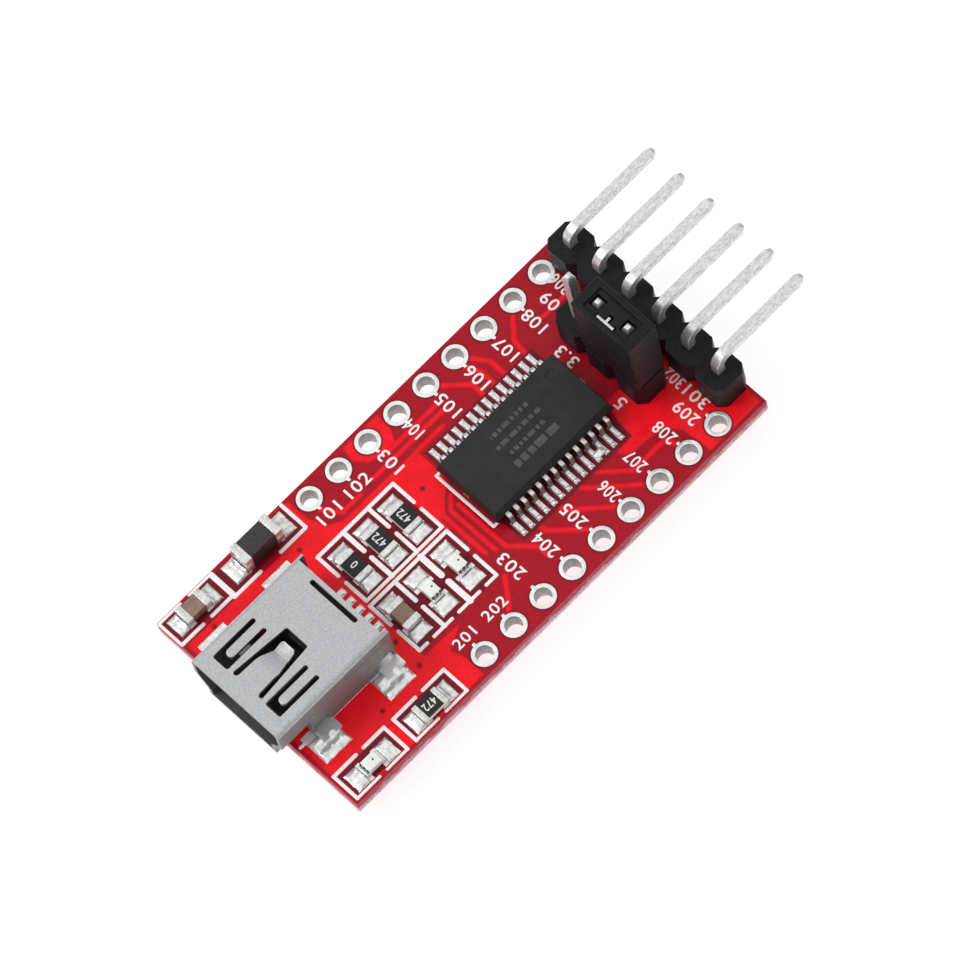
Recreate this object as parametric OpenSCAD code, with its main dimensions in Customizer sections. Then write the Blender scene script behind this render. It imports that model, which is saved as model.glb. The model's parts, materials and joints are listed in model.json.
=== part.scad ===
// USB-to-serial adapter board: a small circuit board with a mini USB socket at one end, a six-way
// angled pin strip at the other, a 28-lead interface chip, a voltage jumper and chip components.
// Millimetres. The origin is the centre of the two rows of plated holes, on the board's underside.
// +X runs from the socket to the angled pin strip, +Z points up from the component side.

/* [Board] */
// Length of the board's socket end, from the first pin holes' middles to the edge
socket_end_l = 12.09; // [11.5:0.01:16]
// Length of the board's strip end, from the last pin holes' middles to the edge
strip_end_l = 3.09; // [2.8:0.01:5]
// Distance from a row of pin holes to the side edge
side_margin = 1.13; // [1:0.01:3]
// Thickness of the board with its copper and lacquer
board_t = 1.25; // [0.8:0.05:2.4]
// Thickness of the copper plating in the holes and on the lands
plating_t = 0.04; // [0.02:0.01:0.07]

/* [Pin holes] */
// Distance between neighbouring holes in a row
pitch = 2.54; // [2.54:0.01:3.1]
// Number of holes in each row
row_holes = 9; // [7:1:9]
// Distance between the two rows
row_gap = 15.24; // [15.24:0.02:19]
// Bore of a plated pin hole
hole_d = 1.15; // [0.9:0.05:1.3]
// Width of the copper ring round a pin hole
ring_w = 0.265; // [0.2:0.005:0.35]

/* [Small plated holes] */
// Bore of a via, which joins the copper of both sides
via_d = 0.3; // [0.2:0.05:0.4]
// How much wider a strip pin's hole is than the pin from corner to corner
pin_hole_gap = 0.1; // [0.05:0.01:0.2]
// Width of the copper ring round a strip pin's hole
header_ring_w = 0.3; // [0.2:0.02:0.35]

/* [Socket] */
// Width of the metal shell
socket_w = 7.6; // [7.2:0.05:8]
// Length of the metal shell
socket_l = 9.4; // [9.2:0.1:11]
// Height of the shell's top above the board
socket_h = 4.1; // [3.9:0.05:5]
// Thickness of the shell's sheet metal
shell_t = 0.3; // [0.2:0.05:0.35]
// How far the mouth stands out past the end of the board
socket_overhang = 0.95; // [0.5:0.05:2]
// Offset of the socket to the side
socket_y = 0.1; // [-0.5:0.05:0.5]
// Width of the mouth's floor, which is narrower than its roof
mouth_floor_w = 5.8; // [5:0.1:6.2]
// Length of the tapered mouth before the shell becomes a square box
mouth_l = 2.4; // [2:0.1:3]
// Height above the board at which the mouth starts to widen
mouth_step_low = 1.0; // [0.7:0.1:1.3]
// Height above the board at which the mouth has its full width
mouth_step_high = 2.2; // [1.9:0.1:2.5]
// Outer radius of the shell's top edges
shell_bend_r = 0.45; // [0.4:0.05:0.8]
// How far the roof's back edge lies in front of the side walls' back edges
roof_setback = 0.4; // [0:0.1:0.6]
// Gap between the shell and the board
shell_gap = 0.1; // [0.05:0.01:0.2]
// Width of a soldered shell foot, along the shell
foot_w = 1.5; // [1.2:0.1:1.8]
// How far a shell foot reaches out from the shell's side
foot_reach = 0.85; // [0.7:0.05:1.2]
// Distance between the socket's contacts
contact_pitch = 0.8; // [0.7:0.05:0.9]
// Width of a contact
contact_w = 0.34; // [0.25:0.01:0.4]
// Diameter of the locating pegs under the socket
peg_d = 0.8; // [0.6:0.1:1]
// Clearance round a locating peg
peg_gap = 0.05; // [0.02:0.01:0.1]

/* [Chip] */
// How far the moulded body runs past the middles of its outermost leads
chip_end = 0.875; // [0.5:0.025:1.2]
// Width of the moulded body
chip_w = 5.3; // [4.4:0.1:6.4]
// Thickness of the moulded body
chip_t = 1.65; // [1.4:0.05:2.1]
// Gap between the body and the lands
chip_gap = 0.06; // [0.04:0.01:0.2]
// Number of leads on each side
chip_side_leads = 14; // [10:1:14]
// Distance between neighbouring leads
lead_pitch = 0.65; // [0.54:0.01:0.78]
// How far a lead reaches out from the body
lead_reach = 1.25; // [1.1:0.05:1.5]
// Width of a lead
lead_w = 0.3; // [0.2:0.02:0.36]
// Thickness of a lead
lead_t = 0.18; // [0.12:0.02:0.22]
// Position of the chip's centre along X
chip_x = 1.35; // [0:0.05:2]
// Position of the chip's centre along Y
chip_y = 0.18; // [-0.4:0.02:0.4]

/* [Chip components] */
// Length of a standard chip resistor or small capacitor
chip_part_l = 2.0; // [1.8:0.05:2.2]
// Width of a standard chip resistor or small capacitor
chip_part_w = 1.25; // [1:0.05:1.4]
// Height of a resistor
resistor_h = 0.5; // [0.4:0.05:0.7]
// Height of a small capacitor
small_cap_h = 0.8; // [0.6:0.05:1.25]
// Length of the large capacitor
large_cap_l = 3.1; // [2.8:0.1:3.4]
// Width of the large capacitor
large_cap_w = 1.55; // [1.4:0.05:1.7]
// Height of the large capacitor
large_cap_h = 1.55; // [1.2:0.05:1.8]
// Length of an indicator lamp
lamp_l = 1.6; // [1.4:0.05:1.8]
// Width of an indicator lamp
lamp_w = 0.85; // [0.7:0.05:1]
// Height of an indicator lamp
lamp_h = 0.62; // [0.5:0.02:0.8]
// Length of the metal end caps along a component
end_cap_l = 0.38; // [0.25:0.01:0.45]
// Thickness of the metal end caps
end_cap_t = 0.05; // [0.03:0.01:0.07]

/* [Pin strips] */
// Width and height of a strip's plastic
strip_w = 2.54; // [2.3:0.02:2.6]
// Side of a square pin
pin_w = 0.64; // [0.5:0.02:0.66]
// How far the pins stand out under the board
pin_tail = 1.3; // [0.9:0.1:2]
// Number of pins in the angled strip
angled_count = 6; // [4:1:6]
// How far the angled strip's plastic stands out past the board's end
angled_overhang = 0.2; // [0:0.05:0.6]
// Height of the outward pins' middle above the strip's plastic
angled_rise = 1.36; // [1.2:0.02:3]
// How far the outward pins reach past the plastic
angled_reach = 6.25; // [5:0.25:9]
// Inner radius of the bend in an angled pin
pin_bend_r = 0.45; // [0.3:0.05:0.6]
// Offset of both strips to the side
strip_y = 0.3; // [-0.3:0.05:0.4]
// Gap between the plastic of the two strips
strip_gap = 0.59; // [0.3:0.01:1]
// Height of the upright pins above their plastic
upright_h = 5.96; // [5.5:0.02:9]

/* [Jumper] */
// How far the jumper cap runs past its pins' middles, along the row
jumper_end = 1.205; // [1.1:0.005:1.25]
// Width of the jumper cap
jumper_w = 2.4; // [2.2:0.05:2.9]
// Height of the jumper cap
jumper_h = 5.9; // [5:0.05:7]
// Wall of the jumper cap
jumper_wall = 0.42; // [0.35:0.01:0.5]
// Gap between the seated cap and the strip under it
cap_rest_gap = 0.05; // [0.03:0.01:0.1]
// Clearance between the clip's springs and a pin
grip_gap = 0.04; // [0.02:0.01:0.06]
// Thickness of the clip's sheet metal
clip_t = 0.18; // [0.12:0.01:0.22]

/* [Hidden] */
$fn = 40;
EPS = 0.5;                                   // how far a cutting shape runs past what it cuts

// ends and levels of the board
row_l = (row_holes - 1) * pitch;
board_x0 = -row_l / 2 - socket_end_l;
board_x1 = row_l / 2 + strip_end_l;
board_w = row_gap + 2 * side_margin;
land_z = board_t + plating_t;

ring_d = hole_d + 2 * ring_w;
header_hole_d = pin_w * sqrt(2) + pin_hole_gap;
header_ring_d = header_hole_d + 2 * header_ring_w;

// places of the plated holes
grid_points = [for (i = [0 : row_holes - 1], s = [-1, 1])
    [i * pitch - row_l / 2, s * row_gap / 2]];
angled_x = board_x1 + angled_overhang - strip_w / 2;
upright_x = angled_x - strip_w - strip_gap;
angled_points = [for (i = [0 : angled_count - 1])
    [angled_x, strip_y + (i - (angled_count - 1) / 2) * pitch]];
upright_points = [for (i = [-1 : 1]) [upright_x, strip_y + i * pitch]];
header_points = concat(angled_points, upright_points);

// components: [distance from the board's socket edge, y, turn about Z]
side_y = row_gap / 2;                        // components along the side edges stand in line with the holes
resistor_places = [[10.77, 2.25, 90], [12.95, 2.25, 90], [15.07, 2.25, 90], [7.45, -side_y, 0]];
small_cap_places = [[2.2, side_y, 0], [10.5, -2.3, 90]];
large_cap_place = [7.7, side_y, 0];
lamp_places = [[15.1, -2.32, 90], [12.78, -2.32, 90], [2.43, -side_y, 0]];
via_places = [[9.0, -3.03], [8.9, -5.2], [5.3, -5.6], [9.65, -7.5], [2.25, 5.97], [9.3, 5.65],
    [4.55, 6.8], [10.7, 4.35], [10.55, -4.5], [12.7, -4.5], [15.07, -4.5], [17.25, 2.9]];
via_points = [for (v = via_places) [board_x0 + v[0], v[1]]];

// socket
shell_x0 = board_x0 - socket_overhang;
shell_x1 = shell_x0 + socket_l;
shell_z0 = board_t + shell_gap;
shell_z1 = board_t + socket_h;
shell_mid_z = [board_t + mouth_step_low, board_t + mouth_step_high];
box_x0 = shell_x0 + mouth_l;                 // here the shell becomes a square box
foot_xs = [box_x0 + foot_w / 2, shell_x1 - foot_w / 2];
foot_tip_y = socket_w / 2 + foot_reach;
foot_notch_r = 0.28;
foot_window_h = 0.85;                        // opening in the wall above a foot
shell_land_l = 2.2;                          // length of a land under a shell foot
shell_land_shift = 0.5;                      // how far that land's middle lies towards the mouth
shell_land_in = 0.5;                         // how far that land runs in under the shell
shell_land_out = 1.0;                        // how far it runs out past the foot's tip
insulator_x0 = shell_x0 + 5.2;               // front of the insulator's block
insulator_x1 = shell_x1 - 1.3;               // back of the insulator's block
insulator_side_gap = 0.02;
insulator_lip_x1 = shell_x1 - 0.5;           // back edge of the lip over the contacts' bends
insulator_lip_gap = 0.2;                     // its clearance over the contacts
floor_x1 = insulator_x0 - 0.8;               // back edge of the shell's floor
tongue_x0 = shell_x0 + 1.4;
tongue_w = 4.6;
tongue_t = 0.9;
tongue_z = shell_z0 + shell_t + 1.15;        // underside of the tongue
contact_t = 0.2;
contact_tail = 0.7;                          // how far a tail runs out past the side walls
contact_x0 = tongue_x0 + 0.5;
contact_drop_x = insulator_x1 + 0.15;        // here a contact bends down behind the insulator
contact_bend_r = 0.18;
contact_lean = 88;                           // slope of the part that runs down
contact_land_side = 0.08;                    // how much wider a tail's land is, a side
peg_points = [for (s = [-1, 1]) [insulator_x0 + 0.9, socket_y + s * 2.2]];
peg_l = board_t - 0.3;                       // how deep a peg reaches into the board
contact_ys = [for (i = [-2 : 2]) socket_y + i * contact_pitch];

// Openings in the roof, measured from the mouth: two free side tongues, rooted at the back, and one
// frees a middle tongue, rooted at the front
roof_slot_w = 0.34;
side_slot = [1.2, 4.33];                     // middles of the round ends of the slots beside a tongue
side_slot_y = [1.8, 2.75];                   // middles of the two slots
side_tongue_x = 1.7;                         // free tip of a side tongue
mid_slot_x = 1.27;                           // middles of the round ends at the middle tongue's root
mid_slot_y = [1.1, 0.77];                    // middle of the slot beside it, at its root and its tip
mid_end_x = 5.25;                            // middle of the round corners behind its tip
mid_tongue = [[0.9, 0.9], [3, 0.84], [3.9, 0.58], [4.55, 0.56], [4.7, 0.42]];
rear_slot_x = 8.52;                          // middle of the slot in front of the roof's back edge
rear_slot_y = 1.83;
wall_slot = [5.6, 9.1];                      // start and end of the long slot in each side wall
wall_slot_z = 2.9;                           // its height above the board
wall_slot_h = 0.18;

// chip
chip_l = (chip_side_leads - 1) * lead_pitch + 2 * chip_end;
lead_span = chip_w + 2 * lead_reach;
chip_z0 = land_z + chip_gap;
chip_mid_z = chip_z0 + chip_t * 0.5;
lead_inner = 0.75;                           // length of a lead inside the body
lead_xs = [for (i = [0 : chip_side_leads - 1])
    chip_x + (i - (chip_side_leads - 1) / 2) * lead_pitch];
chip_draft = 0.22;                           // how much narrower the top is than the middle, a side
paddle = [4.2, chip_w - 2 * lead_inner - 0.5, lead_t];
die = [2.8, paddle.y - 1.1, 0.25];
tie_bar_w = 0.5;
lead_shoulder = 0.18;                        // level stretch of a lead outside the body
chip_land = [lead_w + 0.06, 1.25, plating_t];
chip_land_toe = 0.25;                        // how far a land runs out past its lead's tip
dimple_r = 0.38;                             // round mark at the first lead's corner
dimple_in = [1.2, 1.2];                      // how far it lies in from the corner
dimple_depth = 0.06;

// components
small_land = [1.3, 1.42];                    // land of a standard component: along it, across it
small_land_span = 3.55;                      // over both lands
large_land = [1.25, 1.6];
large_land_span = 5.1;
fillet_l = 0.45;                             // how far a solder fillet runs out on its land
resistor_fillet_h = 0.4;                     // how high solder climbs on a resistor's end
small_cap_fillet_h = 0.48;
large_cap_fillet_h = 0.62;
film_t = 0.03;
film_w = chip_part_w - 0.3;
coat_rise = 0.03;                            // how far a resistor's coat stands above its end caps
small_cap_band = 0.08;                       // how much longer a capacitor's end caps are
large_cap_band = 0.17;
lens_l = 1.1;
lamp_base_h = 0.3;
lamp_die = [0.34, 0.34, 0.1];

// pin strips
strip_z1 = board_t + strip_w;
strip_chamfer = 0.5;
vent_w = 0.9;
vent_h = 0.2;
angled_z = strip_z1 + angled_rise;
angled_tip_x = angled_x + strip_w / 2 + angled_reach;
upright_z1 = strip_z1 + upright_h;
tip_taper = 0.16;                            // how much a pin's tip narrows, a side
tip_l = 0.4;
ring_gap = 0.02;                             // clearance of the plastic over a copper ring
solder_h = 0.8;                              // height of the solder cone under the board
solder_d = 1.5;                              // the cone's width at the board
solder_tip_d = pin_w + 0.2;                  // its width where it ends on the pin

// jumper, on the middle pin and the one towards -Y
jumper_l = pitch + 2 * jumper_end;
jumper_y = strip_y - pitch / 2;
jumper_pin_points = [upright_points[0], upright_points[1]];
jumper_z0 = strip_z1 + cap_rest_gap;
jumper_z1 = jumper_z0 + jumper_h;
cap_lip_t = 0.5;                             // thickness of the cap's lip round its top window
cap_end_lip = 0.25;                          // lip at each end of that window
cap_window_l = jumper_l - 2 * (jumper_wall + cap_end_lip);
clip_rise = 0.6;                             // height of the clip's lower edge in the cap
clip_x0 = upright_x - jumper_w / 2 + jumper_wall;
clip_z0 = jumper_z0 + clip_rise;
clip_z1 = jumper_z1 - cap_lip_t;
clip_leaf_in = 0.6;                          // how much shorter a leaf is than the back plate, an end
leaf_reach = pin_w / 2 + 0.04;               // how far a leaf runs past its pin's middle
clip_tab_w = 1.4;
clip_tab_in = 0.15;                          // how deep the tab's edge lies below the cap's top
clip_stub_l = 0.35;

// points along an arc
function arc(c, r, a0, a1, n = 5) =
    [for (i = [0 : n]) c + r * [cos(a0 + (a1 - a0) * i / n), sin(a0 + (a1 - a0) * i / n)]];

function turned(q, a) = [q.x * cos(a) - q.y * sin(a), q.x * sin(a) + q.y * cos(a)];

// Side view of a strip that runs out level, bends down and ends in a level foot: [out, up].
// u0 start, u1 first bend, u2 foot's tip, z1 and z2 middles of the two levels, t thickness.
function gull_wing(u0, u1, u2, z1, z2, t, r = 0.16, lean = 80) =
    let (drop = (z1 - z2) - 2 * r * (1 - cos(lean)),
        c1 = [u1, z1 - r],
        c2 = [u1 + 2 * r * sin(lean) + drop / tan(lean), z2 + r])
    concat([[u0, z1 + t / 2]], arc(c1, r + t / 2, 90, 90 - lean), arc(c2, r - t / 2, 270 - lean, 270),
        [[u2, z2 + t / 2], [u2, z2 - t / 2]], arc(c2, r + t / 2, 270, 270 - lean),
        arc(c1, r - t / 2, 90 - lean, 90), [[u0, z1 - t / 2]]);

// a box given by its two corners
module block(a, b) {
    translate(a) cube(b - a);
}

// stands a side view [out, up] up and gives it a width, running out along +X
module side_plate(points, w) {
    translate([0, w / 2, 0]) rotate([90, 0, 0]) linear_extrude(w) polygon(points);
}

module hole_at(p, d) {
    translate([p.x, p.y, -EPS]) cylinder(d = d, h = board_t + 2 * EPS);
}

module eyelet(p, bore, ring) {
    translate([p.x, p.y, 0]) difference() {
        union() {
            cylinder(d = bore + 2 * plating_t, h = board_t);
            for (z = [-plating_t, board_t]) translate([0, 0, z]) cylinder(d = ring, h = plating_t);
        }
        translate([0, 0, -EPS]) cylinder(d = bore, h = board_t + 2 * EPS);
    }
}

module place(p) {
    translate([board_x0 + p[0], p[1], land_z]) rotate([0, 0, p[2]]) children();
}

// ---- board ----
module circuit_board() {
    color("crimson") difference() {
        block([board_x0, -board_w / 2, 0], [board_x1, board_w / 2, board_t]);
        for (p = grid_points) hole_at(p, hole_d + 2 * plating_t);
        for (p = header_points) hole_at(p, header_hole_d + 2 * plating_t);
        for (p = via_points) hole_at(p, via_d + 2 * plating_t);
        for (p = peg_points) hole_at(p, peg_d + 2 * peg_gap);
    }
}

module hole_plating() {
    color("silver") for (p = grid_points) eyelet(p, hole_d, ring_d);
}

module header_plating() {
    color("silver") for (p = header_points) eyelet(p, header_hole_d, header_ring_d);
}

module via_plating() {
    color("peru") for (p = via_points) translate([p.x, p.y, 0]) difference() {
        cylinder(d = via_d + 2 * plating_t, h = board_t);
        translate([0, 0, -EPS]) cylinder(d = via_d, h = board_t + 2 * EPS);
    }
}

module land_pair(land, span) {
    for (s = [-1, 1]) translate([s * (span - land.x) / 2, 0, -plating_t / 2])
        cube([land.x, land.y, plating_t], center = true);
}

module component_lands() {
    color("silver") {
        for (p = concat(resistor_places, small_cap_places, lamp_places))
            place(p) land_pair(small_land, small_land_span);
        place(large_cap_place) land_pair(large_land, large_land_span);
    }
}

module chip_lands() {
    color("silver") for (x = lead_xs, s = [-1, 1])
        translate([x, chip_y + s * ((lead_span - chip_land.y) / 2 + chip_land_toe),
            land_z - plating_t / 2]) cube(chip_land, center = true);
}

module socket_lands() {
    y0 = socket_w / 2 - shell_land_in;
    y1 = foot_tip_y + shell_land_out;
    tail_land_in = 0.1;
    tail_land_out = 0.15;
    color("silver") {
        for (x = foot_xs, s = [-1, 1])
            translate([x - shell_land_shift - shell_land_l / 2, socket_y + (s > 0 ? y0 : -y1), board_t])
                cube([shell_land_l, y1 - y0, plating_t]);
        for (y = contact_ys)
            block([shell_x1 - tail_land_in, y - contact_w / 2 - contact_land_side, board_t],
                [shell_x1 + contact_tail + tail_land_out, y + contact_w / 2 + contact_land_side, land_z]);
    }
}

// ---- chip ----
// a block whose sides lean in from a middle plane, by the given draft
module drafted_block(l, w, h, draft) {
    function side(half) = [[-half + draft, 0], [half - draft, 0], [half, h / 2],
        [half - draft, h], [-half + draft, h], [-half, h / 2]];
    intersection() {
        side_plate(side(l / 2), w + EPS);
        rotate([0, 0, 90]) side_plate(side(w / 2), l + EPS);
    }
}

module lead_insides() {
    for (x = lead_xs, s = [-1, 1])
        translate([x, chip_y + s * (chip_w - lead_inner) / 2, chip_mid_z])
            cube([lead_w, lead_inner, lead_t], center = true);
}

module paddle_shape() {
    translate([chip_x, chip_y, chip_mid_z]) {
        cube(paddle, center = true);
        cube([chip_l, tie_bar_w, lead_t], center = true);
    }
}

module die_shape() {
    translate([chip_x, chip_y, chip_mid_z + lead_t / 2 + die.z / 2]) cube(die, center = true);
}

module chip_body() {
    color("dimgray") difference() {
        translate([chip_x, chip_y, chip_z0]) drafted_block(chip_l, chip_w, chip_t, chip_draft);
        lead_insides();
        paddle_shape();
        die_shape();
        translate([chip_x + chip_l / 2 - dimple_in.x, chip_y + chip_w / 2 - dimple_in.y,
            chip_z0 + chip_t - dimple_depth]) cylinder(r = dimple_r, h = EPS);
    }
}

module lead() {
    side_plate(gull_wing(chip_w / 2 - lead_inner, chip_w / 2 + lead_shoulder, lead_span / 2,
        chip_mid_z, land_z + lead_t / 2, lead_t), lead_w);
}

module chip_leads() {
    color("silver") for (x = lead_xs, a = [90, -90])
        translate([x, chip_y, 0]) rotate([0, 0, a]) lead();
}

module chip_paddle() {
    color("peru") paddle_shape();
}

module chip_die() {
    color("slategray") die_shape();
}

module chip_solder() {
    toe_l = 0.22;
    color("lightgray") for (x = lead_xs, a = [90, -90])
        translate([x, chip_y, land_z]) rotate([0, 0, a])
            side_plate([[lead_span / 2, 0], [lead_span / 2 + toe_l, 0], [lead_span / 2, lead_t]], lead_w);
}

// ---- resistors, capacitors and lamps, each along X with its base at Z = 0 ----
// a pair of metal ends wrapped over what stands between them
module end_caps(l, w, h, band, core) {
    difference() {
        for (s = [-1, 1]) translate([s * (l - band) / 2, 0, h / 2])
            cube([band, w, h], center = true);
        translate([0, 0, h / 2]) cube(core, center = true);
    }
}

resistor_core = [chip_part_l - 2 * end_cap_t, chip_part_w + EPS, resistor_h - 2 * end_cap_t];

module resistor_cores() {
    color("white") for (p = resistor_places) place(p)
        translate([0, 0, resistor_h / 2])
            cube([resistor_core.x, chip_part_w, resistor_core.z], center = true);
}

module resistor_films() {
    color("saddlebrown") for (p = resistor_places) place(p)
        translate([0, 0, resistor_h - end_cap_t + film_t / 2])
            cube([chip_part_l - 2 * end_cap_l, film_w, film_t], center = true);
}

module resistor_coats() {
    l = chip_part_l - 2 * end_cap_l;
    color("black") for (p = resistor_places) place(p)
        difference() {
            translate([0, 0, resistor_h - end_cap_t + (end_cap_t + coat_rise) / 2])
                cube([l, chip_part_w, end_cap_t + coat_rise], center = true);
            translate([0, 0, resistor_h - end_cap_t + film_t / 2])
                cube([l + EPS, film_w, film_t], center = true);
        }
}

module resistor_ends() {
    color("silver") for (p = resistor_places) place(p)
        end_caps(chip_part_l, chip_part_w, resistor_h, end_cap_l, resistor_core);
}

module capacitor_body(l, w, h) {
    translate([0, 0, h / 2])
        cube([l - 2 * end_cap_t, w - 2 * end_cap_t, h - 2 * end_cap_t], center = true);
}

module capacitor_ends(l, w, h, band) {
    end_caps(l, w, h, band, [l - 2 * end_cap_t, w - 2 * end_cap_t, h - 2 * end_cap_t]);
}

module small_capacitor_bodies() {
    color("tan") for (p = small_cap_places) place(p)
        capacitor_body(chip_part_l, chip_part_w, small_cap_h);
}

module small_capacitor_ends() {
    color("silver") for (p = small_cap_places) place(p)
        capacitor_ends(chip_part_l, chip_part_w, small_cap_h, end_cap_l + small_cap_band);
}

module large_capacitor_body() {
    color("dimgray") place(large_cap_place) capacitor_body(large_cap_l, large_cap_w, large_cap_h);
}

module large_capacitor_ends() {
    color("silver") place(large_cap_place)
        capacitor_ends(large_cap_l, large_cap_w, large_cap_h, end_cap_l + large_cap_band);
}

lamp_core = [lamp_l - 2 * end_cap_t, lamp_w + EPS, lamp_base_h - 2 * end_cap_t];

module lamp_bases() {
    color("white") for (p = lamp_places) place(p)
        translate([0, 0, lamp_base_h / 2])
            cube([lamp_core.x, lamp_w, lamp_core.z], center = true);
}

module lamp_ends() {
    color("silver") for (p = lamp_places) place(p)
        end_caps(lamp_l, lamp_w, lamp_base_h, (lamp_l - lens_l) / 2, lamp_core);
}

module lamp_die_shape() {
    translate([0, 0, lamp_base_h - end_cap_t + lamp_die.z / 2]) cube(lamp_die, center = true);
}

module lamp_dies() {
    color("gold") for (p = lamp_places) place(p) lamp_die_shape();
}

module lamp_lenses() {
    z0 = lamp_base_h - end_cap_t;
    color("ivory") for (p = lamp_places) place(p) difference() {
        translate([0, 0, (z0 + lamp_h) / 2]) cube([lens_l, lamp_w, lamp_h - z0], center = true);
        lamp_die_shape();
    }
}

// a wedge of solder against each end of a component
module fillets(l, w, h) {
    for (a = [0, 180]) rotate([0, 0, a])
        side_plate([[l / 2, 0], [l / 2 + fillet_l, 0], [l / 2, h]], w);
}

module component_solder() {
    color("lightgray") {
        for (p = resistor_places) place(p) fillets(chip_part_l, chip_part_w, resistor_fillet_h);
        for (p = small_cap_places) place(p) fillets(chip_part_l, chip_part_w, small_cap_fillet_h);
        for (p = lamp_places) place(p) fillets(lamp_l, lamp_w, lamp_base_h);
        place(large_cap_place) fillets(large_cap_l, large_cap_w, large_cap_fillet_h);
    }
}

// ---- mini USB socket ----
// End view of the shell [side, up]: rounded top edges, and sides that step in to the floor's width.
// grow moves the outline out, or in where it is negative.
function shell_outline(floor_w, grow = 0) =
    let (r = shell_bend_r + grow,
        top = shell_z1 + grow,
        foot = shell_z0 - grow,
        half = socket_w / 2 + grow,
        floor_half = floor_w / 2 + grow,
        lean = atan((half - floor_half) / (shell_mid_z[1] - shell_mid_z[0])),
        low = shell_mid_z[0] - grow * tan(lean / 2),
        high = shell_mid_z[1] - grow * tan(lean / 2))
    concat([[floor_half, foot], [floor_half, low], [half, high]],
        arc([half - r, top - r], r, 0, 90), arc([r - half, top - r], r, 90, 180),
        [[-half, high], [-floor_half, low], [-floor_half, foot]]);

module shell_tube(x0, x1, floor_w, grow = 0) {
    translate([x0, socket_y, 0]) rotate([90, 0, 90]) linear_extrude(x1 - x0)
        polygon(shell_outline(floor_w, grow));
}

// a flat slot with round ends, from a to b
module slot_2d(a, b, w) {
    d = b - a;
    translate(a) circle(d = w);
    translate(b) circle(d = w);
    translate(a) rotate(atan2(d.y, d.x)) translate([0, -w / 2]) square([norm(d), w]);
}

// the opening round a side tongue, and the slots and the opening round the middle one
module side_opening_2d() {
    half = (side_slot_y[1] - side_slot_y[0] - roof_slot_w) / 2;
    middle = (side_slot_y[0] + side_slot_y[1]) / 2;
    difference() {
        union() {
            for (y = side_slot_y) slot_2d([side_slot[0], y], [side_slot[1], y], roof_slot_w);
            slot_2d([side_slot[0], side_slot_y[0]], [side_slot[0], side_slot_y[1]], roof_slot_w);
            translate([side_slot[0], side_slot_y[0]])
                square([side_tongue_x + half - side_slot[0], side_slot_y[1] - side_slot_y[0]]);
        }
        translate([side_tongue_x + half, middle]) circle(r = half);
        translate([side_tongue_x + half, middle - half]) square([side_slot[1], 2 * half]);
    }
}

module mid_opening_2d() {
    left = [mid_slot_x, mid_slot_y[0] + roof_slot_w / 2];
    right = [mid_end_x, mid_slot_y[1] + roof_slot_w / 2];
    difference() {
        union() {
            polygon([left, right, [right.x, -right.y], [left.x, -left.y]]);
            for (s = [-1, 1]) translate([mid_slot_x, s * mid_slot_y[0]]) circle(d = roof_slot_w);
            slot_2d([mid_end_x, -mid_slot_y[1]], [mid_end_x, mid_slot_y[1]], roof_slot_w);
        }
        polygon(concat(mid_tongue, [for (i = [len(mid_tongue) - 1 : -1 : 0])
            [mid_tongue[i].x, -mid_tongue[i].y]]));
    }
}

module roof_slots_2d() {
    for (s = [0, 1]) mirror([0, s]) side_opening_2d();
    mid_opening_2d();
    slot_2d([rear_slot_x, -rear_slot_y], [rear_slot_x, rear_slot_y], roof_slot_w);
}

// a foot bent out from the side wall, with a round notch in its tip
module foot(x, s) {
    translate([x - foot_w / 2, socket_y, 0]) mirror([0, s > 0 ? 0 : 1, 0]) difference() {
        block([0, socket_w / 2 - shell_t, land_z], [foot_w, foot_tip_y, land_z + shell_t]);
        translate([foot_w / 2, foot_tip_y, board_t]) cylinder(r = foot_notch_r, h = 2 * shell_t);
    }
}

module socket_shell() {
    wall_y = socket_w / 2 - shell_t;
    color("silver") {
        difference() {
            union() {
                shell_tube(shell_x0, box_x0, mouth_floor_w);
                shell_tube(box_x0, shell_x1, socket_w);
            }
            shell_tube(shell_x0 - EPS, box_x0 + shell_t, mouth_floor_w, -shell_t);
            shell_tube(box_x0 + shell_t, shell_x1 + EPS, socket_w, -shell_t);
            translate([shell_x0, socket_y, shell_z1 - 1.5 * shell_t])
                linear_extrude(3 * shell_t) roof_slots_2d();
            block([shell_x0 + wall_slot[0], socket_y - socket_w, board_t + wall_slot_z],
                [shell_x0 + wall_slot[1], socket_y + socket_w, board_t + wall_slot_z + wall_slot_h]);
            // the roof ends in front of the walls
            block([shell_x1 - roof_setback, socket_y - wall_y, shell_z1 - 2 * shell_t],
                [shell_x1 + EPS, socket_y + wall_y, shell_z1 + EPS]);
            // windows over the feet
            for (x = foot_xs)
                block([x - foot_w / 2 + shell_t / 2, socket_y - socket_w, land_z + shell_t],
                    [x + foot_w / 2 - shell_t / 2, socket_y + socket_w, land_z + shell_t + foot_window_h]);
            // the floor ends in front of the insulator
            block([floor_x1, socket_y - wall_y, board_t],
                [shell_x1 + EPS, socket_y + wall_y, shell_z0 + shell_t]);
        }
        for (x = foot_xs, s = [-1, 1]) foot(x, s);
    }
}

module contact_grooves() {
    for (y = contact_ys)
        block([contact_x0, y - contact_w / 2, tongue_z],
            [insulator_x1 + EPS, y + contact_w / 2, tongue_z + contact_t]);
}

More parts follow.
